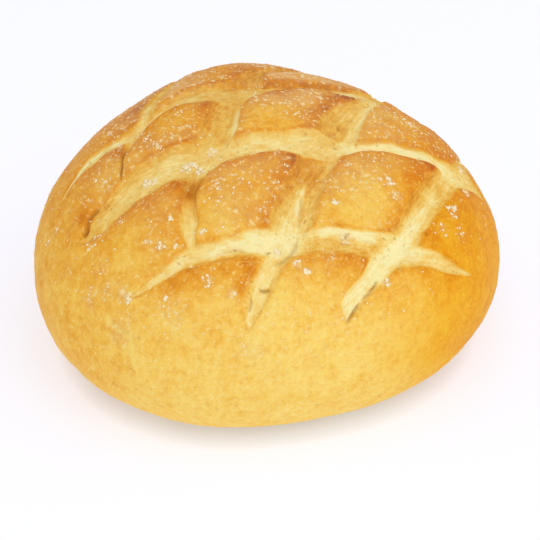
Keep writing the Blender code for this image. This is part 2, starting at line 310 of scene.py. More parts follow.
@dataclass(frozen=True)
class Cut:
    """One run of the knife on the sheet, in millimetres.

    The near or left edge and the far or right edge are given at even steps from the start. Depths are given at
    distances along the sheet, the floor by its share of the depth at each of its lines, and how the crumb has baked
    by rows of a distance and three shares, at the near edge, on the middle and at the far edge: 0 is pale cream
    and 1 is orange. The shares at the edges also hold painted shade on the cut's walls.
    """

    run: Run
    start: float
    near: tuple
    far: tuple
    depths: tuple
    floor: tuple
    golds: tuple

    def turned(self, across: Array, away: Array) -> tuple[Array, Array]:
        """Places along and off this cut's direction."""
        return (across, away) if self.run is Run.ACROSS else (away, across)

    def edges(self, along: Array) -> tuple[Array, Array]:
        """Both edges without their straying."""
        place = (along - self.start * MM) / CUT_FORM.station_step
        return through(self.near, place) * MM, through(self.far, place) * MM

    def half_width(self, along: Array) -> Array:
        """Half of the open width.

        Args:
            along: distances along the sheet.

        Returns:
            Widths in metres, which are nothing beyond the tips.
        """
        near, far = self.edges(along)
        end = self.start * MM + CUT_FORM.station_step * (len(self.near) - 1)
        between_tips = (along > self.start * MM) & (along < end)
        return np.where(between_tips, np.clip((far - near) / 2.0, 0.0, None), 0.0)

    def openness(self, along: Array) -> Array:
        """How far the cut has opened: 0 beyond its tips and 1 where it is wide."""
        return np.clip(self.half_width(along) / CUT_FORM.fully_open_half, 0.0, 1.0)

    def depth(self, along: Array) -> Array:
        """Depth of the floor below the crust."""
        places, depths = zip(*self.depths)
        return np.interp(along / MM, places, depths) * MM * self.openness(along)

    def edge(self, along: Array, side: Side, narrowest: float = CUT_FORM.narrowest_half) -> Array:
        """Place of one edge of the cut.

        Args:
            along: distances along the sheet.
            side: which of the two edges.
            narrowest: least distance from the cut's middle.

        Returns:
            The edge's place off the crown line, for each distance.
        """
        near, far = self.edges(along)
        half = np.maximum(self.half_width(along), narrowest)
        stray = np.interp(along, *stray_table(self.start * 0.1 + side.value, side.value))
        return (near + far) / 2.0 + side.value * half + stray * self.openness(along)

    def profile(self, place: Array) -> Array:
        """Share of the depth at places between the edges, from -1 to 1."""
        lines = CUT_FORM.across_floor if self.run is Run.ACROSS else CUT_FORM.away_floor
        return np.interp(place, *floor_table(lines, self.floor))

    def gold(self, place: Array, along: Array) -> Array:
        """How golden the opened crumb has baked, with painted shade on the walls towards both edges.

        Args:
            place: places between the cut's edges, from -1 to 1.
            along: distances along the cut.

        Returns:
            Shares from 0, pale cream, to 1, orange.
        """
        distances, *bakes = zip(*self.golds)
        near, middle, far = (np.interp(along / MM, distances, bake) for bake in bakes)
        side = np.where(place < 0.0, near, far)
        return middle + (side - middle) * ramp(np.abs(place), 0.30, 1.00)


CUTS = (
    Cut(
        Run.ACROSS, start=-56, floor=(0.95, 0.85, 0.45),
        near=(-80.6, -80.4, -79.4, -77.9, -76.9, -76.8, -76.5, -76.5, -76.4, -76.7, -77.2, -76.8, -76.3, -74.7, -73.5,
            -72.1, -70.6, -70.1, -69.8, -69.5, -66.1, -62.7, -60, -57.7, -55, -51.4, -47),
        far=(-78.9, -77.1, -74.7, -72.4, -69.9, -68, -68.7, -68.5, -67.1, -65.9, -66.5, -66.4, -65.9, -65.3, -62.9,
            -61.6, -60.3, -58.8, -56.6, -54.7, -54, -53.1, -51.5, -50.1, -49.5, -48.5, -47),
        depths=((-56, 0.8), (-40, 1.8), (-10, 2.6), (30, 3), (60, 2.8), (85, 1.8), (100, 0.8)),
        golds=((-56, 0.5, 0.35, 0.5), (-40, 0.56, 0.2, 0.36), (-20, 0.72, 0.24, 0.34), (-8, 0.76, 0.2, 0.3),
            (2, 0.32, 0.04, 0.2), (15, 0.28, 0.02, 0.2), (25, 0.62, 0.46, 0.16), (50, 0.64, 0.42, 0.16),
            (60, 0.55, 0.22, 0.35), (75, 0.45, 0.18, 0.4), (100, 0.6, 0.45, 0.6)),
    ),
    Cut(
        Run.ACROSS, start=-77, floor=(0.95, 0.95, 0.6),
        near=(-47.2, -50.3, -50, -47.8, -46.2, -44.4, -42.9, -41.4, -41.6, -42.4, -41.6, -38.6, -37.4, -36.2, -35.2,
            -34, -33.9, -32.3, -30.6, -26.7, -21.2, -17.5, -15, -12.9, -10.7, -10.5, -13.1, -9.9, -4.5, 0.9, 6.4,
            11.5),
        far=(-47.2, -41.4, -37.2, -34.7, -31.5, -28.5, -26.7, -25.8, -25.5, -25.6, -25.9, -26.3, -26.6, -25.7, -24.8,
            -22.9, -20.3, -17.8, -17.4, -17.4, -15.5, -11.1, -7.1, -5.1, -3.3, -2.3, -0.7, 4.1, 7.9, 10.5, 12, 11.5),
        depths=((-77, 1.6), (-60, 2.4), (-20, 3.2), (20, 3.2), (60, 2.2), (80, 1.2), (109, 0.8)),
        golds=((-77, 0.72, 0.58, 0.7), (-60, 0.6, 0.38, 0.62), (-45, 0.54, 0.3, 0.56), (-30, 0.5, 0.3, 0.6),
            (-15, 0.46, 0.32, 0.62), (0, 0.46, 0.22, 0.4), (20, 0.44, 0.2, 0.4), (32, 0.5, 0.38, 0.45),
            (45, 0.12, 0.02, 0.55), (70, 0.14, 0.04, 0.6), (85, 0.36, 0.22, 0.45), (109, 0.65, 0.55, 0.65)),
    ),
    Cut(
        Run.ACROSS, start=-88, floor=(0.7, 1, 0.95),
        near=(-22.6, -17.6, -15.3, -14.6, -13.2, -12, -12.8, -11.6, -8.5, -4.2, -2.7, -3, -4.1, -5.3, -6.1, -3.7, 2.2,
            5.5, 9.3, 12.1, 13.8, 13.2, 15.8, 20.5, 23.6, 25.3, 26.2, 27.3, 28.6, 31),
        far=(-22.6, -13.9, -9.8, -7.3, -4.5, -4.7, -4.2, -2.6, 1.5, 8.1, 14, 14.1, 13.8, 13.2, 13.4, 14.3, 15, 16.8,
            20, 23.7, 27.6, 30.4, 32.2, 33.9, 35, 35.5, 35.5, 34.8, 33.6, 31),
        depths=((-88, 0.6), (-60, 1.2), (-40, 2.2), (-10, 3.2), (25, 3.4), (38, 1.8), (60, 1.8), (86, 0.8)),
        golds=((-88, 0.5, 0.42, 0.7), (-60, 0.42, 0.32, 0.66), (-46, 0.46, 0.34, 0.62), (-20, 0.52, 0.38, 0.6),
            (-5, 0.58, 0.54, 0.8), (3, 0.54, 0.46, 0.92), (38, 0.42, 0.26, 0.96), (45, 0.48, 0.3, 0.6),
            (86, 0.6, 0.5, 0.6)),
    ),
    Cut(
        Run.ACROSS, start=-46, floor=(0.9, 1, 0.8),
        near=(61.2, 61.3, 61.6, 62, 62.6, 63.2, 63.8, 64.4, 65, 65.5, 65.8, 66, 66.2, 66.3, 66.5, 66.7, 67, 67.4,
            68.2),
        far=(61.2, 64.2, 66.9, 69.2, 71.1, 72.5, 73.7, 74.7, 75.4, 75.8, 76.2, 76.3, 76.3, 75.9, 75.3, 74.3, 73, 71.2,
            68.2),
        depths=((-46, 0.8), (0, 2.8), (62, 0.8)),
        golds=((-46, 0.5, 0.4, 0.5), (0, 0.45, 0.2, 0.55), (62, 0.5, 0.4, 0.5)),
    ),
    Cut(
        Run.AWAY, start=-34, floor=(0.9, 1, 0.6),
        near=(-51.7, -52.6, -52.8, -52.2, -49.9, -46.9, -46.7, -47.4, -47.3, -44.4, -42.5, -41.1, -39.9, -38.9, -38,
            -36.8, -34.5),
        far=(-51.7, -51.8, -50.7, -46.6, -41.4, -39.3, -39, -37.8, -36.4, -35, -34.1, -33.3, -32.7, -32.3, -32.1,
            -32.8, -34.5),
        depths=((-34, 1), (-16, 2), (10, 1.7), (25, 1.2), (62, 0.8)),
        golds=((-34, 0.8, 0.8, 0.7), (-16, 0.7, 0.5, 0.5), (8, 0.74, 0.54, 0.6), (62, 0.6, 0.45, 0.5)),
    ),
    Cut(
        Run.AWAY, start=-72, floor=(0.65, 1, 0.85),
        near=(-28, -30.4, -31.2, -30.1, -27.9, -27.7, -26, -24, -21.5, -18.7, -16.9, -14.6, -12.1, -9.6, -7, -4.9,
            -2.1, 2.4, 10, 15.2, 18.9, 21.6, 24, 26.1, 28, 30),
        far=(-26.4, -25, -23.4, -23.4, -22.5, -18.2, -13.2, -8.1, -4.8, -3.7, -2.4, -0.2, 4.4, 5.8, 6, 6, 7.5, 13.8,
            18.5, 21.9, 24.6, 27, 29.1, 30.9, 31.3, 30),
        depths=((-72, 1.2), (-60, 2), (-45, 2.6), (-20, 2.8), (0, 2.6), (15, 2), (25, 1.5), (78, 0.9)),
        golds=((-72, 0.36, 0.2, 0.36), (-60, 0.46, 0.26, 0.42), (-53, 0.66, 0.5, 0.55), (-47, 0.95, 0.9, 0.82),
            (-40, 0.8, 0.62, 0.66), (-30, 0.6, 0.48, 0.44), (-20, 0.78, 0.54, 0.32), (0, 0.94, 0.62, 0.36),
            (12, 0.84, 0.66, 0.54), (25, 0.85, 0.8, 0.75), (78, 0.6, 0.5, 0.6)),
    ),
    Cut(
        Run.AWAY, start=-104, floor=(0.65, 1, 0.9),
        near=(-6.4, -8.2, -7, -5.1, -0.3, 2.4, 4, 4.8, 7.9, 11.3, 14.7, 18.2, 19.3, 21.8, 24.4, 26.1, 27.2, 30.4,
            35.3, 39.7, 42.5, 44.5, 46, 47, 47.8, 48.6, 49, 49.4, 49.6, 49.8, 50.2, 51.5),
        far=(-6.4, -1, 3.5, 7.2, 11.3, 16.6, 21.2, 24, 25.9, 27.9, 30.2, 32.1, 34, 36.4, 39.1, 40.9, 41.8, 43.2, 45,
            47.2, 49.5, 51.6, 53.8, 54.9, 55.5, 56, 56, 56, 55.6, 55, 54, 51.5),
        depths=((-104, 0.6), (-90, 2), (-70, 3.2), (-50, 4), (-20, 3.4), (-5, 2.6), (5, 1.5), (14, 0.9), (30, 1.2),
            (60, 1.4), (82, 0.6)),
        golds=((-104, 0.42, 0.26, 0.42), (-90, 0.52, 0.16, 0.34), (-80, 0.56, 0.16, 0.4), (-70, 0.34, 0.04, 0.36),
            (-60, 0.74, 0.36, 0.5), (-45, 0.88, 0.66, 0.38), (-30, 0.88, 0.74, 0.34), (-20, 0.82, 0.7, 0.36),
            (-5, 0.62, 0.54, 0.34), (10, 0.7, 0.56, 0.36), (30, 0.7, 0.6, 0.6), (82, 0.6, 0.5, 0.6)),
    ),
    Cut(
        Run.AWAY, start=-98, floor=(0.75, 1, 0.6),
        near=(40.4, 36.7, 38.5, 43.3, 46.4, 48.5, 51.8, 55.1, 57.7, 59.2, 60.7, 62.2, 64.3, 66.8, 69.6, 72.9, 77.2,
            80, 82.8, 85.3, 86.2, 86.9, 87.5, 88.2, 89),
        far=(40.4, 45.4, 49.4, 53.5, 56.8, 60.6, 64.5, 68.5, 68.9, 70.7, 72.8, 74.9, 76.9, 79.1, 81.3, 83.4, 85.6,
            87.8, 90, 91.9, 93.1, 93.3, 92.9, 91, 89),
        depths=((-98, 0.6), (-85, 1.8), (-65, 3), (-40, 3.2), (-20, 2.4), (-8, 1.3), (3, 0.8), (46, 0.8)),
        golds=((-98, 0.34, 0.2, 0.4), (-85, 0.2, 0.04, 0.28), (-70, 0.3, 0.04, 0.28), (-55, 0.68, 0.18, 0.34),
            (-40, 0.86, 0.44, 0.42), (-20, 0.86, 0.48, 0.48), (-8, 0.66, 0.36, 0.46), (3, 0.64, 0.48, 0.55),
            (46, 0.7, 0.6, 0.6)),
    ),
)


@dataclass(frozen=True)
class SheetLines:
    """Lines of the flat sheet, which follow the edges of the cuts and lie closest there."""

    borders: dict = field(default_factory=lambda: {Run.ACROSS: (-0.115, 0.105), Run.AWAY: (-0.110, 0.118)})
    outer: dict = field(default_factory=lambda: {Run.ACROSS: (28, 24), Run.AWAY: (40, 27)})
    in_cut: int = 20
    between: int = 34
    crowding: float = 0.55
    crowding_in_cut: float = 0.30
    passes: int = 16

    def shares(self, run: Run) -> tuple[Array, Array]:
        """Where each line of one direction lies among the cuts' edges.

        Args:
            run: the direction of the cuts that the lines follow.

        Returns:
            The number of the gap that each line is in, odd for an open cut and even for the crust between cuts,
            and the line's share of the way over that gap.
        """
        last_gap = 2 * sum(cut.run is run for cut in CUTS)
        counts = dict(zip((0, last_gap), self.outer[run]))
        gaps, parts = [], []
        for gap in range(last_gap + 1):
            count = self.in_cut if gap % 2 else counts.get(gap, self.between)
            even = np.arange(count) / count
            if gap in counts:
                crowd = self.crowding if gap == 0 else -self.crowding
                part = even + crowd * even * (1.0 - even)
            else:
                crowd = self.crowding_in_cut if gap % 2 else self.crowding
                part = even - crowd * np.sin(2.0 * np.pi * even) / (2.0 * np.pi)
            gaps += [gap] * count
            parts += part.tolist()
        return np.array([*gaps, last_gap]), np.array([*parts, 1.0])

    def placed(self, run: Run, along: Array) -> Array:
        """Places of the lines of one direction.

        Args:
            run: the direction of the cuts that they follow.
            along: row n holds distances along line n.

        Returns:
            Places off the crown line, one for each distance.
        """
        gaps, parts = self.shares(run)
        edges = [cut.edge(along, side, CUT_FORM.lines_half) for cut in CUTS if cut.run is run for side in Side]
        low, high = (np.full_like(along, border) for border in self.borders[run])
        stations = np.stack([low, *edges, high])
        lines = np.arange(len(gaps))
        part = parts[:, None]
        return (1.0 - part) * stations[gaps, lines] + part * stations[gaps + 1, lines]

    def crossings(self) -> tuple[Array, Array]:
        """Sheet points where the lines of the two directions cross.

        Returns:
            Places across and places away, one row for each line that runs away.
        """
        across = np.zeros([len(self.shares(run)[0]) for run in (Run.AWAY, Run.ACROSS)])
        for _ in range(self.passes):
            away = self.placed(Run.ACROSS, across.T).T
            across = self.placed(Run.AWAY, away)
        return across, away


@dataclass(frozen=True)
class Crack:
    """A thin torn line in the skin, in millimetres, given by its corners on the sheet."""

    path: tuple
    width: float = 0.45
    depth: float = 1.0
    shade: float = 0.6


@dataclass(frozen=True)
class Strand:
    """A pulled thread of paler dough in a cut, in millimetres, given by its corners on the sheet."""

    path: tuple
    width: float = 1.5
    rise: float = 0.6
    pale: float = 0.35


@dataclass(frozen=True)
class Spot:
    """A round place on the sheet, in millimetres, with how strong its mark is and how deep it is sunk."""

    across: float
    away: float
    radius: float
    strength: float
    depth: float = 0.0


# Cracks: corners, width and depth in millimetres, and how dark the crack is painted as shade
CRACKS = tuple(Crack(*row) for row in (
    (((53, -76.2), (52.2, -79.7), (49.9, -83.8), (47.5, -86.6)), 0.5, 0.9, 0.34),
    (((46.2, -88.2), (44.4, -91.8), (42, -95.6), (39.8, -97.7)), 0.6, 1, 0.38),
    (((20.6, -50.8), (19.8, -56.3), (18.7, -60.5), (18, -64.9)), 0.9, 0.7, 0.14),
    (((17.6, -68), (16.4, -72.3), (14, -75.4), (10.9, -77.8), (6, -80)), 0.8, 0.8, 0.26),
    (((-15.8, -73.7), (-12, -73.2), (-8.3, -73.3), (-5.1, -75.1)), 0.6, 0.5, 0.14),
    (((-31.5, -76.7), (-28.8, -76.8), (-25.6, -76.6)), 0.6, 0.5, 0.14),
    (((-5.6, -97), (-4.6, -94), (-4.4, -91)), 0.5, 0.7, 0.34),
    (((-0.8, -88.9), (1.7, -89.4), (4.2, -88.9)), 0.7, 0.9, 0.48),
    (((-74.8, -45.9), (-72.2, -43.3), (-70.2, -40.4), (-66.8, -38.2), (-64.2, -37.4)), 0.7, 1, 0.45),
    (((-50, -15.5), (-51.8, -17.8), (-51.8, -23.4), (-52.9, -28.5), (-53.1, -31.4)), 0.6, 1, 0.42),
))

STRANDS = tuple(Strand(*row) for row in (
    (((21.2, -46.5), (19.8, -50.2), (18.2, -55.4), (17.4, -60.3)), 1.6, 0.8, 0.45),
    (((49.2, 19.1), (43.7, 5.2), (40.2, -4.7), (37.5, -14.5), (36.1, -20.9)), 3, 0.6, 0.24),
    (((-1.6, -7.2), (-3, -13.5), (-4.8, -19.2), (-6.3, -24.4), (-8.1, -28.2)), 1.6, 0.7, 0.25),
    (((-82.5, -19.7), (-80.3, -15.6), (-74.8, -11.5), (-69.6, -7.9), (-63.2, -7.3), (-56.4, -8), (-50.8, -9.9)),
     1, 0.3, 0.45),
    (((-44.8, -4.3), (-43.7, 5.2), (-43.6, 13.6)), 1.8, 0.4, 0.3),
    (((36.5, -27.6), (38.2, -25.6), (41.5, -21), (45.6, -16), (50.3, -11.5), (60.2, -8.2)), 1.6, 0.3, 0.2),
    (((24.7, -66.9), (30.7, -64.3), (38.2, -63.3), (44.9, -62.1), (51.5, -60.5)), 1.5, 0.7, 0.35),
    (((-22.3, -73.2), (-16, -71.8), (-7.7, -71.2), (-0.2, -70.7), (5.7, -70.9)), 1.8, 0.6, 0.25),
    (((73.2, -22), (69.7, -33.1), (66.5, -42.9), (63.5, -52), (60.3, -60.5), (56.1, -69)), 2.2, 0.6, 0.3),
))

WRINKLES = tuple(Strand(*row) for row in (
    (((-57.5, -79.8), (-52, -79), (-46, -77.2)), 1.8, 0.3, 0.45),
    (((-60, -91.3), (-61.8, -96.9), (-62.6, -101), (-63.9, -105.2), (-64.1, -108.5)), 0.9, 0.4, 0.55),
    (((-70.6, -81.4), (-68.3, -86.1), (-64.3, -90.6), (-62.2, -93.8)), 0.9, 0.4, 0.45),
))

# Pits: place across and away and radius in millimetres, strength of the painted shade in the pit, and depth in
# millimetres
PITS = tuple(Spot(*row) for row in (
    (-24.8, -45.2, 3.8, 0.22, 1.8), (-51.4, -17, 2, 0.24, 0.8), (33.8, -10.8, 0.7, 0.5, 0.4),
    (33.4, -22, 0.6, 0.45, 0.4), (37.8, -64.2, 0.7, 0.5, 0.4), (70.4, -47.2, 0.9, 0.4, 0.4),
    (22.4, -20.6, 0.6, 0.35, 0.3),
))

TOASTS = tuple(Spot(*row) for row in (
    (9, -91, 5, -0.22), (2, -99, 5, -0.2), (16.5, -86, 3.5, 0.14), (-9, -87, 4, 0.18), (22, -76.5, 4, 0.22),
    (38, -72.5, 5, 0.18), (-4.1, -79.5, 5, 0.6), (-14.5, -78.6, 4.5, 0.34), (-26, -79.8, 4.5, 0.26),
    (-36, -81.2, 4.5, 0.2), (46.4, -70.6, 5, 0.2), (30.6, -74.5, 6, 0.22), (69.3, -12, 5, 0.4), (-12.8, -7.1, 5, 0.3),
    (9.8, 8.3, 9, 0.2), (-51.4, -15.1, 5, 0.26), (36.2, 8.3, 5, 0.34), (25.5, -12.5, 6, 0.26), (17.5, -37.3, 5, 0.3),
    (-28.5, -43.5, 4, 0.4), (11.5, -45.4, 6, 0.2), (62.1, -23, 6, 0.24), (60.3, -31.9, 6, 0.18),
    (74.3, -47.5, 5, 0.24), (-50.9, 13.9, 6, 0.14), (-72, -37, 5, 0.32), (-58, -27, 9, -0.28), (-11.5, -65, 5, -0.22),
    (-20, -117, 14, 0.07), (46, -51.5, 9, -0.26), (48.1, -39.4, 9, -0.1), (-57.9, -64.7, 12, -0.08),
    (26.5, -8, 3, 0.24), (28.5, -2, 3, 0.34), (31.5, 3.5, 3, 0.4), (36, 9.5, 3, 0.44), (40, 15, 3, 0.4),
))


@dataclass(frozen=True)
class Browning:
    """How the crust browns along a cut's edges.

    The near edge browns over a length in metres, and the far one in a line of a width in millimetres.
    """

    near: float
    near_length: float
    far: float
    far_width: float


BROWNING = {Run.ACROSS: Browning(0.34, 0.0034, 0.42, 0.9), Run.AWAY: Browning(0.30, 0.0038, 0.24, 1.0)}


@dataclass(frozen=True)
class Scoring:
    """The crossed cuts: how they shape the skin, and how they mark it for its finish."""

    crossing_blend: float = 6.0
    shoulder_rise: float = 0.0016
    shoulder_length: float = 0.007
    shoulder_full_depth: float = 0.0024
    field_fade: tuple = (0.075, 0.118)
    corner_round: float = 0.0008
    lip_rise: float = 0.0004
    lip_gap: float = 0.0014
    lip_width: float = 1.5
    rim_overlap: float = 0.0004
    far_rim_gap: float = 0.0006
    broad_length: float = 0.0120
    open_span: tuple = (0.04, 0.40)
    gold_span: tuple = (0.02, 0.35)
    gold_edge: tuple = (-0.0010, 0.0008)
    crumb_edge: tuple = (-0.0008, 0.0012)
    relief_full_depth: float = 0.0012
    own_crumb: float = 0.050
    most_toast: float = 0.46
    rim_lengths: tuple = (0.016, 0.005)
    lump_rise: float = 0.00090
    lump_length: float = 0.0021
    lump_draw: float = 2.2
    fibre_rise: float = 0.00022
    fibre_length: float = 0.0010
    fibre_draw: float = 7.0
    small_pit: float = 1.0

    def near_crack(self, across: Array, away: Array, margin: float) -> Array:
        """Whether points of the sheet lie close to a crack or a small pit.

        Args:
            across: places across.
            away: places away.
            margin: how far from it still counts.

        Returns:
            True or False for each point.
        """
        near = [path_distance(across, away, crack.path)[0] < margin for crack in CRACKS]
        small = [pit for pit in PITS if pit.radius < self.small_pit]
        near += [spot_distance(across, away, pit) < margin + pit.radius * MM for pit in small]
        return np.any(near, axis=0)

    def read(self, across: Array, away: Array) -> tuple[dict[str, Array], dict[Enum, Array]]:
        """Shape and marks that the cuts give to points of the sheet.

        Args:
            across: places across.
            away: places away.

        Returns:
            The height over the plain form, the toast and the broad toast by name, and the marks of the finish.
        """
        count = len(across)
        sunk, opened_sum, toast, broad, rim, lip = np.zeros((6, count))
        clear = np.ones(count)
        gold, within = ({run: np.full(count, value) for run in Run} for value in (1.0, 0.0))
        nearest = {run: np.full(count, -1.0) for run in Run}
        lays = {run: np.zeros((count, 3)) for run in Run}
        for number, cut in enumerate(CUTS):
            run = cut.run
            along, off = cut.turned(across, away)
            near, far = (cut.edge(along, side) for side in Side)
            before, beyond = near - off, off - far
            inside = -np.maximum(before, beyond)
            place = 2.0 * (off - near) / (far - near) - 1.0
            opened = cut.openness(along)
            torn = np.clip(cut.depth(along) / self.shoulder_full_depth, 0.0, 1.0)
            drop = cut.depth(along) * cut.profile(place)

            # Cuts that cross share their depth, and the crust sinks a little towards each open edge
            sunk = (sunk**self.crossing_blend + drop**self.crossing_blend) ** (1.0 / self.crossing_blend)
            clear = np.minimum(clear, 1.0 - fall(-inside, self.shoulder_length) * torn)

            # Where the crust has torn open, and to which run and how golden the crumb is there
            opened_sum += np.exp(np.clip(inside / self.corner_round, -20.0, 12.0)) * ramp(opened, *self.open_span)
            weight = ramp(inside, *self.gold_edge) * ramp(opened, *self.gold_span)
            within[run] = np.maximum(within[run], weight)
            gold[run] = np.minimum(gold[run], 1.0 - (1.0 - cut.gold(place, along)) * weight)
            closer = inside > nearest[run]
            nearest[run] = np.where(closer, inside, nearest[run])
            lay = np.stack((along, off - (near + far) / 2.0, np.full_like(along, self.own_crumb * number)), -1)
            lays[run] = np.where(closer[:, None], lay, lays[run])

            # Browned rims: narrow and broad on the near side, a line on the far side, and a small raised lip
            brown, vary, rimward = BROWNING[run], self.vary(number, along) * torn, before > -self.rim_overlap
            toast = np.maximum(toast, brown.near * fall(before, brown.near_length) * rimward * vary)
            rim = np.maximum(rim, brown.far * bell(beyond - self.far_rim_gap, brown.far_width) * vary)
            broad = np.maximum(broad, fall(before, self.broad_length) * rimward * torn)
            lip = np.maximum(lip, bell(before - self.lip_gap, self.lip_width) * vary)

        # All cuts together, with their threads, wrinkles, cracks and pits
        signed = self.corner_round * np.log(np.maximum(opened_sum, 1e-8))
        crumb = ramp(signed, *self.crumb_edge)
        faded, full = self.field_fade[1], self.field_fade[1] - self.field_fade[0]
        fade = np.clip((faded - np.hypot(across, away)) / full, 0.0, 1.0)
        turn = within[Run.AWAY] / np.maximum(within[Run.AWAY] + within[Run.ACROSS], 1e-3)
        pale, pulled = self.strands(STRANDS, across, away)
        stretched, wrinkled = self.strands(WRINKLES, across, away)
        hollow, pit = self.hollows(across, away)
        relief = self.crumb_relief(lays, turn) * np.clip(sunk / self.relief_full_depth, 0.0, 1.0)
        height = self.shoulder_rise * (clear - 1.0 + fade) - sunk + self.lip_rise * lip * (1.0 - crumb)
        height += crumb * (relief + pulled) + wrinkled - pit
        toast = np.maximum(toast, rim) - stretched
        toast += sum(spot.strength * bell(spot_distance(across, away, spot), spot.radius) for spot in TOASTS)
        toast = np.minimum(toast, self.most_toast * np.tanh(toast / self.most_toast))
        shape = {"height": height, "toast": toast * (1.0 - crumb), "broad": broad * (1.0 - crumb)}
        shared = np.minimum(*gold.values())
        return shape, {
            Mark.CRUMB: crumb, Mark.GOLD: np.clip(shared - pale, 0.0, 1.0), Mark.TURN: turn, Mark.HOLLOW: hollow,
            Lay.ACROSS: lays[Run.ACROSS], Lay.AWAY: lays[Run.AWAY],
        }

    def vary(self, number: int, along: Array) -> Array:
        """How strongly a cut's rim has browned along its length.

        Args:
            number: which cut it is, for a course of its own.
            along: distances along the cut.

        Returns:
            Shares from 0 to 1.
        """
        places = np.stack((along, np.full_like(along, 0.3 * number), np.zeros_like(along)), -1)
        coarse, fine = (wander(places, length) for length in self.rim_lengths)
        return np.clip(0.55 + 0.9 * coarse + 0.4 * fine, 0.05, 1.0)

    def crumb_relief(self, lays: dict[Run, Array], turn: Array) -> Array:
        """Height of the torn crumb's lumps and fibres, which are drawn out along each cut.

        Args:
            lays: places along and off the nearest cut of each run.
            turn: 0 where the crumb belongs to a cut across and 1 where it belongs to one that runs away.

        Returns:
            Heights in metres.
        """
        heights = {}
        for run in Run:
            along, off, seed = lays[run].T
            lumps = wander(np.stack((along / self.lump_draw, off, seed), -1), self.lump_length)
            fibres = wander(np.stack((along / self.fibre_draw, off, seed + 0.01), -1), self.fibre_length)
            heights[run] = self.lump_rise * lumps + self.fibre_rise * fibres
        return (1.0 - turn) * heights[Run.ACROSS] + turn * heights[Run.AWAY]

    def strands(self, chosen: tuple, across: Array, away: Array) -> tuple[Array, Array]:
        """Pulled threads of dough.

        Args:
            chosen: the threads.
            across: places across.
            away: places away.

        Returns:
            How much paler each point is, and how far it is raised in metres.
        """
        pale, rise = np.zeros((2, len(across)))
        for strand in chosen:
            gap, share = path_distance(across, away, strand.path)
            mark = bell(gap, strand.width) * np.clip(8.0 * share * (1.0 - share) + 0.2, 0.0, 1.0)
            pale, rise = np.maximum(pale, strand.pale * mark), np.maximum(rise, strand.rise * MM * mark)
        return pale, rise

    def hollows(self, across: Array, away: Array) -> tuple[Array, Array]:
        """Cracks and pits of the skin.

        Args:
            across: places across.
            away: places away.

        Returns:
            How dark each point is painted as shade in the cracks and pits, from 0 to 1, and how deep it is sunk in
            metres.
        """
        marks = [(pit.strength, pit.depth, bell(spot_distance(across, away, pit), pit.radius)) for pit in PITS]
        for crack in CRACKS:
            gap, share = path_distance(across, away, crack.path)
            opened = np.clip(6.0 * share * (1.0 - share) + 0.15, 0.0, 1.0)
            marks.append((crack.shade, crack.depth, bell(gap, crack.width * (0.5 + 0.5 * opened)) * opened))
        shade = np.max([strength * mark for strength, _, mark in marks], axis=0)
        return shade, np.max([depth * MM * mark for _, depth, mark in marks], axis=0)


def linear(colour: str) -> tuple[float, float, float, float]:
    """Linear red, green, blue and alpha of an sRGB hex colour.

    Args:
        colour: the colour, such as #FFDC74.

    Returns:
        Four numbers from 0 to 1.
    """
    values = [int(colour[start : start + 2], 16) / 255.0 for start in (1, 3, 5)]
    lit = [value / 12.92 if value <= 0.04045 else ((value + 0.055) / 1.055) ** 2.4 for value in values]
    return (*lit, 1.0)


def feed(socket: Socket, value: object) -> None:
    """Give an input what it works with.

    Args:
        socket: the input.
        value: another node's output, a number or numbers, or an sRGB hex colour.
    """
    if isinstance(value, Socket):
        socket.id_data.links.new(value, socket)
    else:
        socket.default_value = linear(value) if isinstance(value, str) else value


def new_material(name: str, **values: object) -> tuple[Material, bpy.types.NodeInputs]:
    """Make a material with nodes.

    Args:
        name: the material's name.
        **values: what its shader's inputs get, by name with an underscore for each space.

    Returns:
        The material and its shader's inputs.
    """
    material = bpy.data.materials.new(name)
    material.use_nodes = True
    shader = material.node_tree.nodes["Principled BSDF"].inputs
    for key, value in values.items():
        feed(shader[key.replace("_", " ")], value)
    return material, shader


def add_node(tree: Tree, kind: str, out: int | str = 0, **values: object) -> Socket:
    """Add a node with its settings and links.

    Args:
        tree: the node tree that gets it.
        kind: Blender's name for the kind of node, without ShaderNode.
        out: name or number of the output that is wanted.
        **values: the node's own settings, the stops of a colour ramp as places and sRGB hex colours, and what its
            inputs get, by name or by i and number.

    Returns:
        The output.
    """
    node = tree.nodes.new("ShaderNode" + kind)
    for name, value in values.items():
        if name == "stops":
            stored = node.color_ramp.elements
            while len(stored) < len(value):
                stored.new(1.0)
            for element, (place, colour) in zip(stored, value):
                element.position, element.color = place, linear(colour)
        elif hasattr(node, name):
            setattr(node, name, value)
        else:
            feed(node.inputs[int(name[1:]) if name[1:].isdigit() else name], value)
    return node.outputs[out]


def summed(tree: Tree, total: object, *parts: tuple[object, float]) -> Socket:
    """Add parts to a value, each times its share.

    Args:
        tree: the node tree.
        total: the value to add to.
        *parts: the parts with their shares.

    Returns:
        The output that gives the sum.
    """
    for part, share in parts:
        total = add_node(tree, "Math", operation="MULTIPLY_ADD", i0=part, i1=share, i2=total)
    return total


def layered(tree: Tree, colour: Socket, *layers: tuple, blend: str = "MIX") -> Socket:
    """Lay colours over a colour, one after the other.

    Args:
        tree: the node tree.
        colour: the colour below.
        *layers: how much of each colour shows, and the colour.
        blend: the way they blend.

    Returns:
        The output that gives the colour on top.
    """
    for shown, over in layers:
        colour = add_node(tree, "Mix", 2, data_type="RGBA", blend_type=blend, i0=shown, i6=colour, i7=over)
    return colour


class Uneven(Enum):
    """The ways in which bread is uneven: size of the bumps in millimetres, detail and roughness of the noise."""

    GRAIN = (0.9, 3.0, 0.60)
    BLISTER = (2.6, 2.0, 0.55)
    MOTTLE = (8.0, 3.0, 0.55)
    DRIFT = (30.0, 2.0, 0.55)
    SPECK = (1.7, 2.0, 0.55)
    FLECK = (1.7, 1.0, 0.55)
    STREAK = (1.1, 2.0, 0.60)


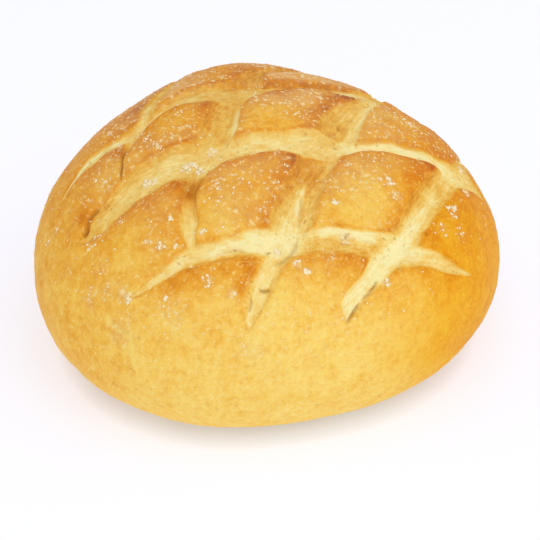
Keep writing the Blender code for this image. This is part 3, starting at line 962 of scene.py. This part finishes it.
def uneven(tree: Tree, vector: Socket, kind: Uneven) -> Socket:
    """Uneven values about 0.

    Args:
        tree: the node tree.
        vector: the places, in metres.
        kind: which unevenness.

    Returns:
        The output that gives them.
    """
    size, detail, roughness = kind.value
    bumps = add_node(tree, "TexNoise", Vector=vector, Scale=1000.0 / size, Detail=detail, Roughness=roughness)
    return add_node(tree, "Math", operation="SUBTRACT", i0=bumps, i1=0.5)


@dataclass(frozen=True)
class WheatCrust:
    """Baked wheat bread: thin dry crust, and pale crumb where the cuts have opened.

    Egg-free wheat crust is a matt browned starch skin, so it has a soft, broad shine and a fine blistered
    grain. The crumb in the cuts is torn gluten, so it is paler, drier and drawn out in streaks.
    """

    crust_stops: tuple = (
        (0.00, "#FFDC74"), (0.20, "#FBCB5C"), (0.40, "#F3B23C"), (0.60, "#E89826"), (0.80, "#D57C1A"),
        (1.00, "#AC5A14"),
    )
    crumb_stops: tuple = (
        (0.00, "#FFF2B2"), (0.25, "#FBDC84"), (0.50, "#F2C056"), (0.75, "#E49C32"), (1.00, "#CC7B20"),
    )
    amber: str = "#F8DA34"
    film: str = "#D3AE84"
    speck: str = "#FFF0BE"
    vein: str = "#FFE79A"
    # Painted shade: dark in small crumb pores, and in cracks and pits
    shaded_pore: str = "#B88A3C"
    hollow: str = "#7C4C1C"
    base: str = "#E0B470"
    crust_roughness: float = 0.52
    crumb_roughness: float = 0.85
    vein_mm: float = 12.0
    bend_mm: float = 9.0
    bend: float = 0.010
    pore_mm: float = 1.8
    streak_squeeze: float = 0.18

    def make(self) -> Material:
        """Make the material.

        Returns:
            The new material.
        """
        material, shader = new_material(
            "baked_wheat_crust", IOR=1.45, Specular_IOR_Level=0.06, Subsurface_Weight=0.12,
            Subsurface_Radius=(1.0, 0.5, 0.2), Subsurface_Scale=0.002,
        )
        tree = material.node_tree
        add, total, cover = (partial(work, tree) for work in (add_node, summed, layered))
        place = add("TexCoord", "Object")
        marks = {mark: add("Attribute", "Fac", attribute_name=mark.value) for mark in Mark}
        blister, mottle, drift = (uneven(tree, place, kind) for kind in (Uneven.BLISTER, Uneven.MOTTLE, Uneven.DRIFT))
        grain = add("Math", operation="MINIMUM", i0=uneven(tree, place, Uneven.GRAIN), i1=0.05)

        # Crust: browner with baking and with the painted shade laid into the same mark, mottled over some millimetres
        # and grained like fine sandpaper
        low_blister = add("Math", operation="MINIMUM", i0=blister, i1=0.10)
        tone = total(marks[Mark.BAKE], (mottle, 0.50), (grain, 0.44), (low_blister, 0.40), (drift, 0.16))
        crust = add("ValToRGB", Fac=tone, stops=self.crust_stops)

        # Fine pale specks of starch all over, and faint pale veins where the skin has stretched
        starch = add("MapRange", Value=uneven(tree, place, Uneven.SPECK), i1=0.06, i2=0.20, i4=0.50)
        bent = add("TexNoise", "Color", Vector=place, Scale=1000.0 / self.bend_mm, Detail=2.0)
        bent = add("VectorMath", operation="SCALE", i0=bent, Scale=self.bend)
        bent = add("VectorMath", operation="ADD", i0=place, i1=bent)
        vein = add("TexVoronoi", "Distance", feature="DISTANCE_TO_EDGE", Vector=bent, Scale=1000.0 / self.vein_mm)
        vein = add("MapRange", Value=vein, i1=0.05, i2=0.0, i4=0.32)
        vein = add("Math", operation="MULTIPLY", i0=vein, i1=add("Math", operation="ADD", i0=mottle, i1=0.5))
        crust = cover(crust, (starch, self.vein), (vein, self.vein))
        crust = cover(crust, (marks[Mark.AMBER], self.amber), blend="MULTIPLY")

        # Crumb: cream to orange with baking and on its walls with painted shade, streaked along the cut and dotted
        # with small pores painted dark as shade
        streaks = []
        for lay in Lay:
            drawn = add("Attribute", "Vector", attribute_name=lay.value)
            drawn = add("Mapping", Vector=drawn, Scale=(self.streak_squeeze, 1.0, 1.0))
            streaks.append(uneven(tree, drawn, Uneven.STREAK))
        turned = add("Math", operation="SUBTRACT", i0=streaks[1], i1=streaks[0])
        turned = add("Math", operation="MULTIPLY", i0=marks[Mark.TURN], i1=turned)
        streak = add("Math", operation="ADD", i0=streaks[0], i1=turned)
        tone = total(marks[Mark.GOLD], (streak, 0.60), (grain, 0.50), (blister, 0.50), (mottle, 0.45))
        holes = add("TexVoronoi", "Color", Vector=bent, Scale=1000.0 / self.pore_mm)
        pick = total(add("SeparateColor", Color=holes), (marks[Mark.GOLD], 0.25))
        pick = add("Math", operation="GREATER_THAN", i0=pick, i1=0.84)
        shaded_pore = add("MapRange", Value=holes.node.outputs["Distance"], i1=0.26, i2=0.12)
        shaded_pore = add("Math", operation="MULTIPLY", i0=shaded_pore, i1=pick)
        shown = add("Math", operation="MULTIPLY", i0=shaded_pore, i1=0.60)
        crumb = cover(add("ValToRGB", Fac=tone, stops=self.crumb_stops), (shown, self.shaded_pore))

        # The torn border between crust and crumb
        border = total(marks[Mark.CRUMB], (grain, 0.7), (blister, 1.0))
        border = add("MapRange", Value=border, i1=0.10, i2=0.90)

        # Flour film, which on the top behind is partly a painted sheen: tan where it is thin, cream where it is
        # thick, with small pale grains
        dust = add("Math", operation="MULTIPLY", i0=marks[Mark.FILM], i1=total(0.62, (blister, 1.8)))
        powder = add("ValToRGB", Fac=marks[Mark.FILM], stops=((0.30, self.film), (0.60, self.speck)))
        fleck = add("MapRange", Value=uneven(tree, place, Uneven.FLECK), i1=0.08, i2=0.20, i4=0.62)
        dusted = add("MapRange", Value=marks[Mark.FILM], i1=0.02, i2=0.40)
        fleck = add("Math", operation="MULTIPLY", i0=fleck, i1=dusted)
        # Layers: crust, crumb, flour film, flecks, foot, and last the painted shade in cracks and pits
        feed(shader["Base Color"], cover(
            crust, (border, crumb), (dust, powder), (fleck, self.speck), (marks[Mark.BASE], self.base),
            (marks[Mark.HOLLOW], self.hollow),
        ))
        rougher = self.crumb_roughness - self.crust_roughness
        feed(shader["Roughness"], total(self.crust_roughness, (border, rougher), (dust, 0.3)))

        # Relief too fine for the mesh: grain of 0.05 mm, blisters of 0.1 mm and pores in the crumb
        lift = add("Math", operation="MULTIPLY", i0=grain, i1=0.8)
        sunk = add("Math", operation="MULTIPLY", i0=shaded_pore, i1=border)
        lift = total(lift, (blister, 1.2), (sunk, -0.5))
        feed(shader["Normal"], add("Bump", Strength=1.0, Distance=0.00020, Height=lift))
        return material


@dataclass(frozen=True)
class WheatFlour:
    """Sifted wheat flour: a soft powder with no shine, white in lumps and cream where the crust shows through."""

    colour: str = "#FFEFC4"
    thin: str = "#FFCA70"
    lump_mm: float = 2.0

    def make(self) -> Material:
        """Make the material.

        Returns:
            The new material.
        """
        material, shader = new_material("wheat_flour", Roughness=0.95, Specular_IOR_Level=0.2)
        add = partial(add_node, material.node_tree)
        lumpy = add("TexNoise", Vector=add("TexCoord", "Object"), Scale=1000.0 / self.lump_mm, Detail=1.0)
        white = add("Attribute", "Fac", attribute_name=WHITENESS)
        shade = summed(material.node_tree, white, (lumpy, 1.0))
        feed(shader["Base Color"], add("ValToRGB", Fac=shade, stops=((0.45, self.thin), (1.00, self.colour))))
        return material


def deselect_all() -> None:
    """Leave nothing selected, so that an operator acts only on what is chosen next."""
    bpy.ops.object.select_all(action="DESELECT")


def only(piece: Piece) -> None:
    """Select one piece alone and make it the active one.

    Args:
        piece: the piece.
    """
    deselect_all()
    piece.select_set(True)
    bpy.context.view_layer.objects.active = piece


def places_of(items: bpy.types.bpy_prop_collection, name: str = "co") -> Array:
    """Places of a mesh's points or faces.

    Args:
        items: the mesh's points or faces.
        name: what their place is called.

    Returns:
        One row of three numbers for each.
    """
    places = np.zeros(len(items) * 3)
    items.foreach_get(name, places)
    return places.reshape(-1, 3)


def select_faces(piece: Piece, wanted: Array) -> None:
    """Select faces in object mode, for the edit-mode operator that follows.

    Args:
        piece: the piece that has them.
        wanted: True or False for each face.
    """
    bpy.context.tool_settings.mesh_select_mode = (False, False, True)
    piece.data.vertices.foreach_set("select", np.zeros(len(piece.data.vertices), bool))
    piece.data.edges.foreach_set("select", np.zeros(len(piece.data.edges), bool))
    piece.data.polygons.foreach_set("select", wanted)


@dataclass(frozen=True)
class FlourPatch:
    """A scatter of flour lumps round one place of the sheet, in millimetres."""

    across: float
    away: float
    spread: float
    count: int
    size: float = 1.0


# Places across and away on the sheet, spread in millimetres, number of lumps and how large they are
FLOUR_PATCHES = tuple(FlourPatch(*row) for row in (
    (-16.4, 26.5, 2, 7, 0.8), (-11, 14.8, 3, 10, 0.8), (1.9, 5.9, 2.5, 10, 1), (-44.6, -11.2, 2.5, 14, 1),
    (-40.3, -18.6, 2.5, 18, 1.1), (-37.5, -23.3, 2.5, 14, 1), (-29.5, -15.4, 3, 14, 0.9),
    (-26.6, -10.6, 3, 12, 0.9), (-22.3, -18.8, 3, 14, 0.9), (-19.6, -12.7, 3, 8, 0.8), (-16.4, -23.8, 2, 8, 0.9),
    (-59.8, 2.1, 3, 18, 1), (-63, -24.5, 3, 16, 1.1), (-59.7, -29.9, 2.5, 14, 1.1), (-70.1, -32.6, 2, 6, 1),
    (-42.7, -36.7, 1.6, 16, 1.6), (-40.1, -36.4, 1.2, 9, 1.5), (-26, -34.8, 1.6, 18, 1.9),
    (-23.5, -34.2, 1.3, 12, 1.7), (-20.7, -37.7, 1.3, 12, 1.7), (-15, -31.7, 1.5, 8, 1.4), (0.5, -34.5, 2, 7, 1),
    (-14.2, -47.1, 2.5, 10, 1.1), (-13.5, -51.8, 2.5, 9, 1.1), (-5.3, -50.2, 3, 10, 1), (-17, -55.1, 2, 6, 1.1),
    (2.9, -58.7, 2.5, 9, 1), (4.8, -51.6, 3, 9, 0.9), (-21.7, -64.7, 0.7, 5, 1.6), (-14.8, -64.5, 2, 5, 1),
    (-33.7, -56.4, 0.6, 4, 1.4), (-55.3, -48.7, 1.4, 8, 1.2), (-64.1, -49.5, 2, 6, 0.9), (-88.4, -31.9, 1.4, 5, 1),
    (-52.7, -11.1, 2, 12, 1), (-40.3, -3.4, 2, 8, 0.9), (-94, -33, 0.8, 4, 1), (16, -7, 4, 14, 0.7),
    (11, -12, 3, 8, 0.7), (18.5, -13.4, 2.5, 9, 0.9), (48.1, 2.3, 2.5, 10, 0.9), (57.5, 10, 3.5, 20, 1.3),
    (62.8, 12.2, 3, 16, 1), (76.3, 30.7, 3, 12, 0.9), (51.5, -6.6, 3, 10, 0.9), (36.7, -33.3, 2, 7, 0.9),
    (46.1, -25.5, 2.5, 8, 1), (48.9, -34.5, 1, 6, 1.4), (52.9, -33, 1.1, 10, 1.6), (45.1, -40, 2, 5, 1),
    (55.7, -38, 1.6, 9, 1.2), (32.6, -51.8, 0.8, 8, 1.6), (35.7, -48.5, 2.5, 6, 0.9), (31.2, -43, 3, 8, 0.9),
    (84.3, 4, 1.3, 14, 1.6), (85.6, -12.4, 1.4, 12, 1.3), (79.6, -28.5, 2.4, 24, 1.4), (76.9, -40.7, 2.2, 9, 1.1),
    (85.2, -36.8, 3, 10, 0.9), (13.5, -41.7, 2.5, 9, 0.9), (9.1, -49.4, 2.5, 9, 0.9), (8.4, -74.5, 1, 10, 1.8),
    (37, -64.9, 1.6, 8, 1.2), (20, -81.5, 0.8, 7, 1.6), (16.5, -79.3, 1.4, 6, 1.1), (56.9, -76.2, 1.2, 10, 1.4),
    (30.6, -74.9, 3, 6, 0.9), (65.6, -59.4, 3, 7, 0.8), (-96.5, -32.4, 0.6, 3, 1.2), (-69.9, -50.2, 2.4, 14, 1.1),
    (-66.7, -63.2, 3, 16, 1), (-57.3, -79.4, 1.6, 14, 1.2), (-59, -76.3, 1.5, 6, 1), (-41, -84.7, 0.6, 5, 1.5),
    (-39.1, -91.3, 4.5, 20, 0.8), (-22.5, -64.9, 0.7, 4, 1.3), (-44.3, -62.4, 1.2, 6, 1.1),
    (-39.6, -65.6, 1.2, 9, 1.2), (-33.5, -67.1, 0.6, 4, 1.3), (-22.2, -82.9, 2, 12, 1.3), (-13, -89.1, 1.6, 5, 1),
    (-75.7, -70.6, 3, 6, 0.8), (-84.3, -55.1, 2.5, 5, 0.8), (-65.9, -72.6, 3, 7, 0.8), (44.7, 6.8, 2, 6, 0.8),
    (-5.8, -108.8, 5, 5, 0.7), (-65, -89.5, 5, 6, 0.7), (57.9, 9.8, 9, 26, 1), (66.7, 11.3, 9, 24, 1),
    (75, 14, 8, 20, 1), (15, 45, 13, 60, 1), (-30, 38, 13, 60, 1), (-70, 30, 13, 44, 1), (60, 50, 13, 44, 1),
    (35, 22, 9, 26, 0.9), (5, 16, 8, 20, 0.9), (85, 9, 4.5, 22, 1), (-59, 0, 4.5, 22, 1),
))


@dataclass
class LoafSkin:
    """The loaf's whole skin: crust, opened crumb and foot, as one closed mesh."""

    form: LoafForm = field(default_factory=LoafForm)
    scoring: Scoring = field(default_factory=Scoring)
    finish: WheatCrust = field(default_factory=WheatCrust)
    lines: SheetLines = field(default_factory=SheetLines)
    skirt_rings: int = 20
    foot_rings: int = 3
    foot_mark: float = -0.02
    crack_margins: tuple = (0.0018, 0.0012)
    crust_bump: float = 0.00024
    bump_lengths: tuple = (0.0055, 0.0022)
    foot_hollow: float = 0.0006
    foot_length: float = 0.012
    base_height: float = 0.004
    patch_lengths: tuple = (0.022, 0.0065)
    crown_heights: tuple = (0.050, 0.098)
    # Behind, and partly on the left flank, the extra browning is painted shade
    shaded_rear: tuple = (-0.010, 0.060)
    shaded_left_flank: tuple = (-0.020, -0.088)
    right_flank: tuple = (0.048, 0.092)
    amber_flank: tuple = (0.035, 0.072)
    # The film on the crown and behind it also stands in for a painted sheen
    film_and_sheen_heights: tuple = (0.066, 0.100)
    film_and_sheen_rear: tuple = (0.090, 0.120)
    film_reach: float = 1.35
    wide_spread: float = 1.8
    wide_film: float = 0.30
    close_film: float = 0.85
    piece: Piece | None = None
    shift: Array | None = None

    def build(self) -> Piece:
        """Model the skin flat, refine it and drape it over the form.

        Returns:
            The finished piece.
        """
        deselect_all()
        across, away = self.lines.crossings()
        columns, rows = across.shape
        bpy.ops.mesh.primitive_grid_add(x_subdivisions=columns - 1, y_subdivisions=rows - 1, size=2.0)
        self.piece = bpy.context.object
        self.piece.name = self.piece.data.name = "boule_skin"
        even = places_of(self.piece.data.vertices)
        column = np.rint((even[:, 0] + 1.0) / 2.0 * (columns - 1)).astype(int)
        row = np.rint((even[:, 1] + 1.0) / 2.0 * (rows - 1)).astype(int)
        sheet = np.stack((across[column, row], away[column, row], np.zeros(len(even))), axis=-1)
        self.piece.data.vertices.foreach_set("co", sheet.ravel())
        self.add_skirt()
        self.close_foot()
        self.refine()
        self.drape()
        return self.piece

    def add_skirt(self) -> None:
        """Extrude the sheet's border ring by ring out to the edge of the foot."""
        only(self.piece)
        bpy.ops.object.mode_set(mode="EDIT")
        bpy.context.tool_settings.mesh_select_mode = (False, True, False)
        bpy.ops.mesh.select_all(action="DESELECT")
        bpy.ops.mesh.select_non_manifold()
        for rings_left in range(self.skirt_rings, 0, -1):
            self.extrude_border(1.0 / rings_left, self.form.foot_arc, 0.0)

    def close_foot(self) -> None:
        """Extrude the border on under the loaf, and close what is left with faces round a middle point."""
        for ring in range(self.foot_rings):
            self.extrude_border(1.0, self.form.foot_arc * (1.0 - (ring + 1) / (self.foot_rings + 1)), self.foot_mark)
        bpy.ops.mesh.edge_face_add()
        bpy.ops.mesh.poke()
        bpy.ops.object.mode_set(mode="OBJECT")

    def extrude_border(self, share: float, goal: float, height: float) -> None:
        """Extrude the selected border and move it towards a circle round the crown.

        Args:
            share: how much of the way to go.
            goal: radius of the circle on the sheet.
            height: height over the sheet, which marks the foot.
        """
        bpy.ops.mesh.extrude_region_move()
        mesh = bmesh.from_edit_mesh(self.piece.data)
        for vertex in (vertex for vertex in mesh.verts if vertex.select):
            reach = math.hypot(vertex.co.x, vertex.co.y)
            part = (reach + (goal - reach) * share) / reach
            vertex.co = (vertex.co.x * part, vertex.co.y * part, height)
        bmesh.update_edit_mesh(self.piece.data)

    def refine(self) -> None:
        """Subdivide the faces that lie at cracks and small pits, twice."""
        for margin in self.crack_margins:
            middles = places_of(self.piece.data.polygons, "center")
            close = self.scoring.near_crack(middles[:, 0], middles[:, 1], margin)
            self.subdivide(close & (middles[:, 2] > self.foot_mark / 2.0))

    def subdivide(self, wanted: Array) -> None:
        """Cut each chosen face in four.

        Args:
            wanted: True or False for each face.
        """
        only(self.piece)
        select_faces(self.piece, wanted)
        bpy.ops.object.mode_set(mode="EDIT")
        bpy.ops.mesh.subdivide(number_cuts=1)
        bpy.ops.object.mode_set(mode="OBJECT")

    def drape(self) -> None:
        """Lay every point on the scored loaf, mark it for the finish and stand the loaf on its foot."""
        sheet = places_of(self.piece.data.vertices)
        across, away = sheet[:, 0], sheet[:, 1]
        on_foot = sheet[:, 2] < self.foot_mark / 2.0
        points, marks = self.crust(across, away)
        reach = np.hypot(across, away)
        rim = self.form.draped(*(self.form.foot_arc * np.stack((across, away)) / np.maximum(reach, 1e-6)))
        share = reach / self.form.foot_arc
        foot = rim * share[:, None]
        foot[:, 2] = self.foot_hollow * ramp(share, 1.0, 0.8) * (0.6 + wander(foot + 5.0, self.foot_length))
        points[on_foot] = foot[on_foot]
        marks[Mark.BASE] = np.where(on_foot, 1.0, ramp(points[:, 2], self.base_height, 0.0))
        low, high = points.min(axis=0), points.max(axis=0)
        self.shift = -np.array([(low[0] + high[0]) / 2.0, (low[1] + high[1]) / 2.0, low[2]])
        mesh = self.piece.data
        mesh.vertices.foreach_set("co", (points + self.shift).ravel())
        for mark, values in marks.items():
            kind, slot = ("FLOAT_VECTOR", "vector") if isinstance(mark, Lay) else ("FLOAT", "value")
            mesh.attributes.new(mark.value, kind, "POINT").data.foreach_set(slot, values.astype(np.float32).ravel())
        only(self.piece)
        bpy.ops.object.mode_set(mode="EDIT")
        bpy.ops.mesh.select_all(action="SELECT")
        bpy.ops.mesh.normals_make_consistent(inside=False)
        bpy.ops.object.mode_set(mode="OBJECT")
        bpy.ops.object.shade_smooth()

    def crust(self, across: Array, away: Array) -> tuple[Array, dict[Enum, Array]]:
        """Points of the scored crust under points of the sheet, and their marks.

        Args:
            across: places across.
            away: places away.

        Returns:
            One row of x, y and z for each point before the loaf is stood on its foot, and the marks.
        """
        plain = self.form.draped(across, away)
        shape, marks = self.scoring.read(across, away)
        free = np.clip(plain[:, 2] / self.form.swell_clear_of_foot, 0.0, 1.0)
        swell = sum(height * wander(plain, length) for height, length in self.form.swells)
        coarse, fine = (wander(plain + seed, length) for seed, length in zip((1.0, 2.0), self.bump_lengths))
        bumps = self.crust_bump * (coarse + 0.6 * fine)
        height = shape["height"] + swell + bumps * (1.0 - marks[Mark.CRUMB])
        points = plain + self.form.outward(across, away) * (height * free)[:, None]
        dusted = reduce(np.maximum, (self.dusted(across, away, patch) for patch in FLOUR_PATCHES))
        return points, marks | self.colour_marks(plain, dusted, shape, marks[Mark.CRUMB])

    def colour_marks(self, plain: Array, dusted: Array, shape: dict[str, Array], crumb: Array) -> dict[Enum, Array]:
        """How each point has baked, where painted shade and sheen are laid in, and where flour lies.

        Args:
            plain: the points on the plain form.
            dusted: the film of flour that lies on them.
            shape: how toasted the scoring has left them.
            crumb: whether they are crumb.

        Returns:
            The marks of baking and amber, both holding painted shade, and of flour film, holding painted sheen.
        """
        x, y, z = plain.T
        patchy, small = (wander(plain + seed, length) for seed, length in zip((6.0, 7.0), self.patch_lengths))
        top, behind = ramp(z, *self.crown_heights), ramp(y, *self.shaded_rear)
        left, right = ramp(x, *self.shaded_left_flank), ramp(x, *self.right_flank)

        # Browner on the crown, on the right flank and along the cuts from baking; the extra brown behind is painted
        # shade, and on the left flank the extra brown and amber are partly baking and partly painted shade
        bake = 0.10 + 0.22 * top + 0.24 * left + 0.24 * right + 0.06 * patchy + 0.30 * behind
        bake += shape["toast"] * (0.85 + 0.35 * small) + 0.17 * shape["broad"] * (1.0 + 0.5 * patchy)
        amber = ramp(x + 0.010 * patchy, *self.amber_flank) * 0.84 + 0.25 * top + 0.20 * left

        # A film of flour on the crown and behind it, which there also stands in for a painted sheen, thin on toasted
        # crust and crumb, and round the lumps
        film = 0.02 + 0.34 * ramp(z, *self.film_and_sheen_heights) + 0.14 * ramp(z + y, *self.film_and_sheen_rear)
        film *= ramp(patchy, -0.70, 0.20)
        film *= (1.0 - 1.8 * np.clip(shape["toast"], 0.0, 0.5)) * (1.0 - 0.7 * crumb)
        film = np.maximum(film, dusted * (0.75 + 0.6 * small))
        marks = {Mark.BAKE: bake, Mark.AMBER: amber, Mark.FILM: film}
        return {mark: np.clip(values, 0.0, 1.0) for mark, values in marks.items()}

    def dusted(self, across: Array, away: Array, patch: FlourPatch) -> Array:
        """Thin flour that lies round a scatter of lumps, as shares of a full film."""
        most = self.wide_film if patch.spread > self.wide_spread else self.close_film
        return most * bell(spot_distance(across, away, patch), self.film_reach * patch.spread)

    def dress(self) -> None:
        """Give the skin its finish and put it in the CAD node's place."""
        self.piece.data.materials.append(self.finish.make())
        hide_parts(NODE)
        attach(self.piece, "root")


@dataclass
class FlourDusting:
    """Small lumps of flour that cling to the crust."""

    skin: LoafSkin
    finish: WheatFlour = field(default_factory=WheatFlour)
    smallest: float = 0.00026
    largest: float = 0.00070
    kinds: int = 3
    proud: float = 0.25
    rough: float = 0.35
    squash: tuple = (1.0, 0.80, 0.40)
    size_power: float = 2.2
    patch_tail: float = 0.08
    strays: int = 1000
    stray_reach: float = 0.108
    stray_size: float = 0.80
    seed: int = 7
    piece: Piece | None = None

    def lump(self, number: int) -> Piece:
        """Model one lump of unit size: a rough pebble of 20 faces.

        Args:
            number: which kind of lump it is, for its own roughness. The later ones are whiter.

        Returns:
            The lump.
        """
        deselect_all()
        bpy.ops.mesh.primitive_ico_sphere_add(subdivisions=1, radius=1.0)
        lump = bpy.context.object
        bpy.ops.object.mode_set(mode="EDIT")
        bpy.ops.mesh.select_all(action="SELECT")
        bpy.ops.transform.vertex_random(offset=self.rough, seed=number)
        bpy.ops.transform.resize(value=self.squash)
        bpy.ops.object.mode_set(mode="OBJECT")
        whiteness = lump.data.attributes.new(WHITENESS, "FLOAT", "POINT")
        whiteness.data.foreach_set("value", np.full(len(lump.data.vertices), number / (self.kinds - 1), np.float32))
        return lump

    def places(self, draw: np.random.Generator) -> tuple[Array, Array, Array]:
        """Choose where the lumps lie on the sheet and how large they are.

        Args:
            draw: the seeded source of chance.

        Returns:
            Places across, places away and radii.
        """
        across, away, size = [], [], []
        for patch in FLOUR_PATCHES:
            turn = draw.uniform(0.0, 2.0 * math.pi, patch.count)
            reach = patch.spread * np.sqrt(-np.log(draw.uniform(self.patch_tail, 1.0, patch.count)))
            across.append((patch.across + reach * np.cos(turn)) * MM)
            away.append((patch.away + reach * np.sin(turn)) * MM)
            size.append(patch.size * self.radii(draw, patch.count))
        turn = draw.uniform(0.0, 2.0 * math.pi, self.strays)
        reach = self.stray_reach * np.sqrt(draw.uniform(0.0, 1.0, self.strays))
        across.append(reach * np.cos(turn))
        away.append(reach * np.sin(turn))
        size.append(self.stray_size * self.radii(draw, self.strays))
        return np.concatenate(across), np.concatenate(away), np.concatenate(size)

    def radii(self, draw: np.random.Generator, count: int) -> Array:
        """Radii of some lumps, most of them small."""
        grown = draw.uniform(0.0, 1.0, count) ** self.size_power
        return self.smallest + (self.largest - self.smallest) * grown

    def build(self) -> Piece:
        """Copy the lumps to their places on the crust and join them.

        Returns:
            The finished piece.
        """
        draw = np.random.default_rng(self.seed)
        lumps = [self.lump(number) for number in range(self.kinds)]
        across, away, size = self.places(draw)
        points, _ = self.skin.crust(across, away)
        normals = self.skin.form.outward(across, away)
        points = points + self.skin.shift + normals * (self.proud * size)[:, None]
        copies = []
        for point, normal, radius in zip(points, normals, size):
            turn = Matrix.Rotation(draw.uniform(0.0, 2.0 * math.pi), 4, "Z")
            upright = Vector(normal).to_track_quat("Z", "Y").to_matrix().to_4x4()
            grown = (radius - self.smallest) / (self.largest - self.smallest)
            kind = int(np.clip(self.kinds * grown + draw.uniform(-0.5, 0.8), 0, self.kinds - 1))
            copy = lumps[kind].copy()
            copy.data = copy.data.copy()
            copy.data.transform(Matrix.Translation(point) @ upright @ turn @ Matrix.Scale(radius, 4))
            copy.matrix_world = Matrix.Identity(4)
            bpy.context.collection.objects.link(copy)
            copies.append(copy)
        only(copies[0])
        for copy in copies:
            copy.select_set(True)
        bpy.ops.object.join()
        self.piece = copies[0]
        self.piece.name = self.piece.data.name = "flour_dusting"
        bpy.ops.object.shade_smooth()
        for lump in lumps:
            bpy.data.objects.remove(lump)
        return self.piece

    def dress(self) -> None:
        """Give the flour its finish and let it ride with the loaf."""
        self.piece.data.materials.clear()
        self.piece.data.materials.append(self.finish.make())
        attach(self.piece, "root")


@dataclass(frozen=True)
class Softbox:
    """A large soft light: where it hangs, its width in metres and its power in watts."""

    name: str
    place: tuple
    size: float
    power: float


@dataclass(frozen=True)
class Studio:
    """Pale floor, soft light and the camera."""

    target: tuple = (0.00113, -0.00158, 0.02864)
    distance: float = 0.7694
    elevation_deg: float = 34.5
    lens_mm: float = 123.62
    floor_size: float = 6.0
    world_strength: float = 0.70
    lights: tuple = (
        Softbox("key_light", (0.20, -0.70, 1.15), 1.1, 4.25), Softbox("fill_light", (0.95, -0.35, 0.75), 0.9, 1.0),
    )
    floor_glow: float = 0.61
    # How far from the loaf, and by what share, the floor's glow is dimmed as a painted contact shadow
    painted_shadow_reach: float = 0.009
    painted_shadow_depth: float = 0.42

    def build(self) -> None:
        """Make the floor, the world, the lights and the camera."""
        deselect_all()
        bpy.ops.mesh.primitive_plane_add(size=self.floor_size, location=(0.0, 0.0, 0.0))
        floor = bpy.context.object
        floor.name = floor.data.name = "studio_floor"
        floor.data.materials.append(self.paper())
        self.sky()
        for light in self.lights:
            self.hang(light)
        self.camera()

    def paper(self) -> Material:
        """White floor, matt and glowing, with a painted contact shadow: its glow is dimmed where the loaf covers it.
        Its bluish base offsets the warm light that the loaf bounces onto it, and its pinkish glow keeps the open
        floor white.

        Returns:
            The new material.
        """
        material, shader = new_material(
            "white_floor_with_painted_shadow", Base_Color="#B2BEC8", Emission_Color="#FCF3F8", Roughness=1.0, Specular_IOR_Level=0.0
        )
        # Painted contact shadow: the glow fades where ambient occlusion finds the loaf close by
        bare = add_node(material.node_tree, "AmbientOcclusion", "AO", Distance=self.painted_shadow_reach)
        lost = self.floor_glow * self.painted_shadow_depth
        feed(shader["Emission Strength"], summed(material.node_tree, self.floor_glow - lost, (bare, lost)))
        return material

    def sky(self) -> None:
        """An even white surround."""
        world = bpy.context.scene.world = bpy.data.worlds.new("white_surround")
        world.use_nodes = True
        backdrop = world.node_tree.nodes["Background"].inputs
        feed(backdrop["Color"], "#FDFDFF")
        feed(backdrop["Strength"], self.world_strength)

    def hang(self, light: Softbox) -> None:
        """Hang a light so that it faces the loaf.

        Args:
            light: which light.
        """
        bpy.ops.object.light_add(type="AREA", location=light.place)
        lamp = bpy.context.object
        lamp.name, lamp.data.size, lamp.data.energy = light.name, light.size, light.power
        lamp.rotation_euler = (Vector(self.target) - Vector(light.place)).to_track_quat("-Z", "Y").to_euler()

    def camera(self) -> None:
        """A camera at the photograph's angle."""
        tilt = math.radians(self.elevation_deg)
        back = Vector((0.0, -math.cos(tilt), math.sin(tilt)))
        bpy.ops.object.camera_add(location=Vector(self.target) + back * self.distance)
        camera = bpy.context.object
        camera.name = "studio_camera"
        camera.rotation_euler = (-back).to_track_quat("-Z", "Y").to_euler()
        camera.data.lens = self.lens_mm
        camera.data.sensor_width = 36.0
        bpy.context.scene.camera = camera


def report(piece: Piece) -> None:
    """Log a piece's name, its number of triangles and its size.

    Args:
        piece: the finished piece.
    """
    piece.data.calc_loop_triangles()
    size = " x ".join(f"{side / MM:.1f}" for side in piece.dimensions)
    LOG.info("%s: %d triangles, %s mm", piece.name, len(piece.data.loop_triangles), size)


def main() -> None:
    """Build the studio, the loaf and its flour."""
    logging.basicConfig(level=logging.INFO, format="%(name)s %(message)s")
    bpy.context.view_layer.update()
    bpy.context.scene.view_settings.view_transform = "Standard"
    Studio().build()
    skin = LoafSkin()
    for part in (skin, FlourDusting(skin)):
        part.build()
        part.dress()
        report(part.piece)


if __name__ == "__main__":
    main()
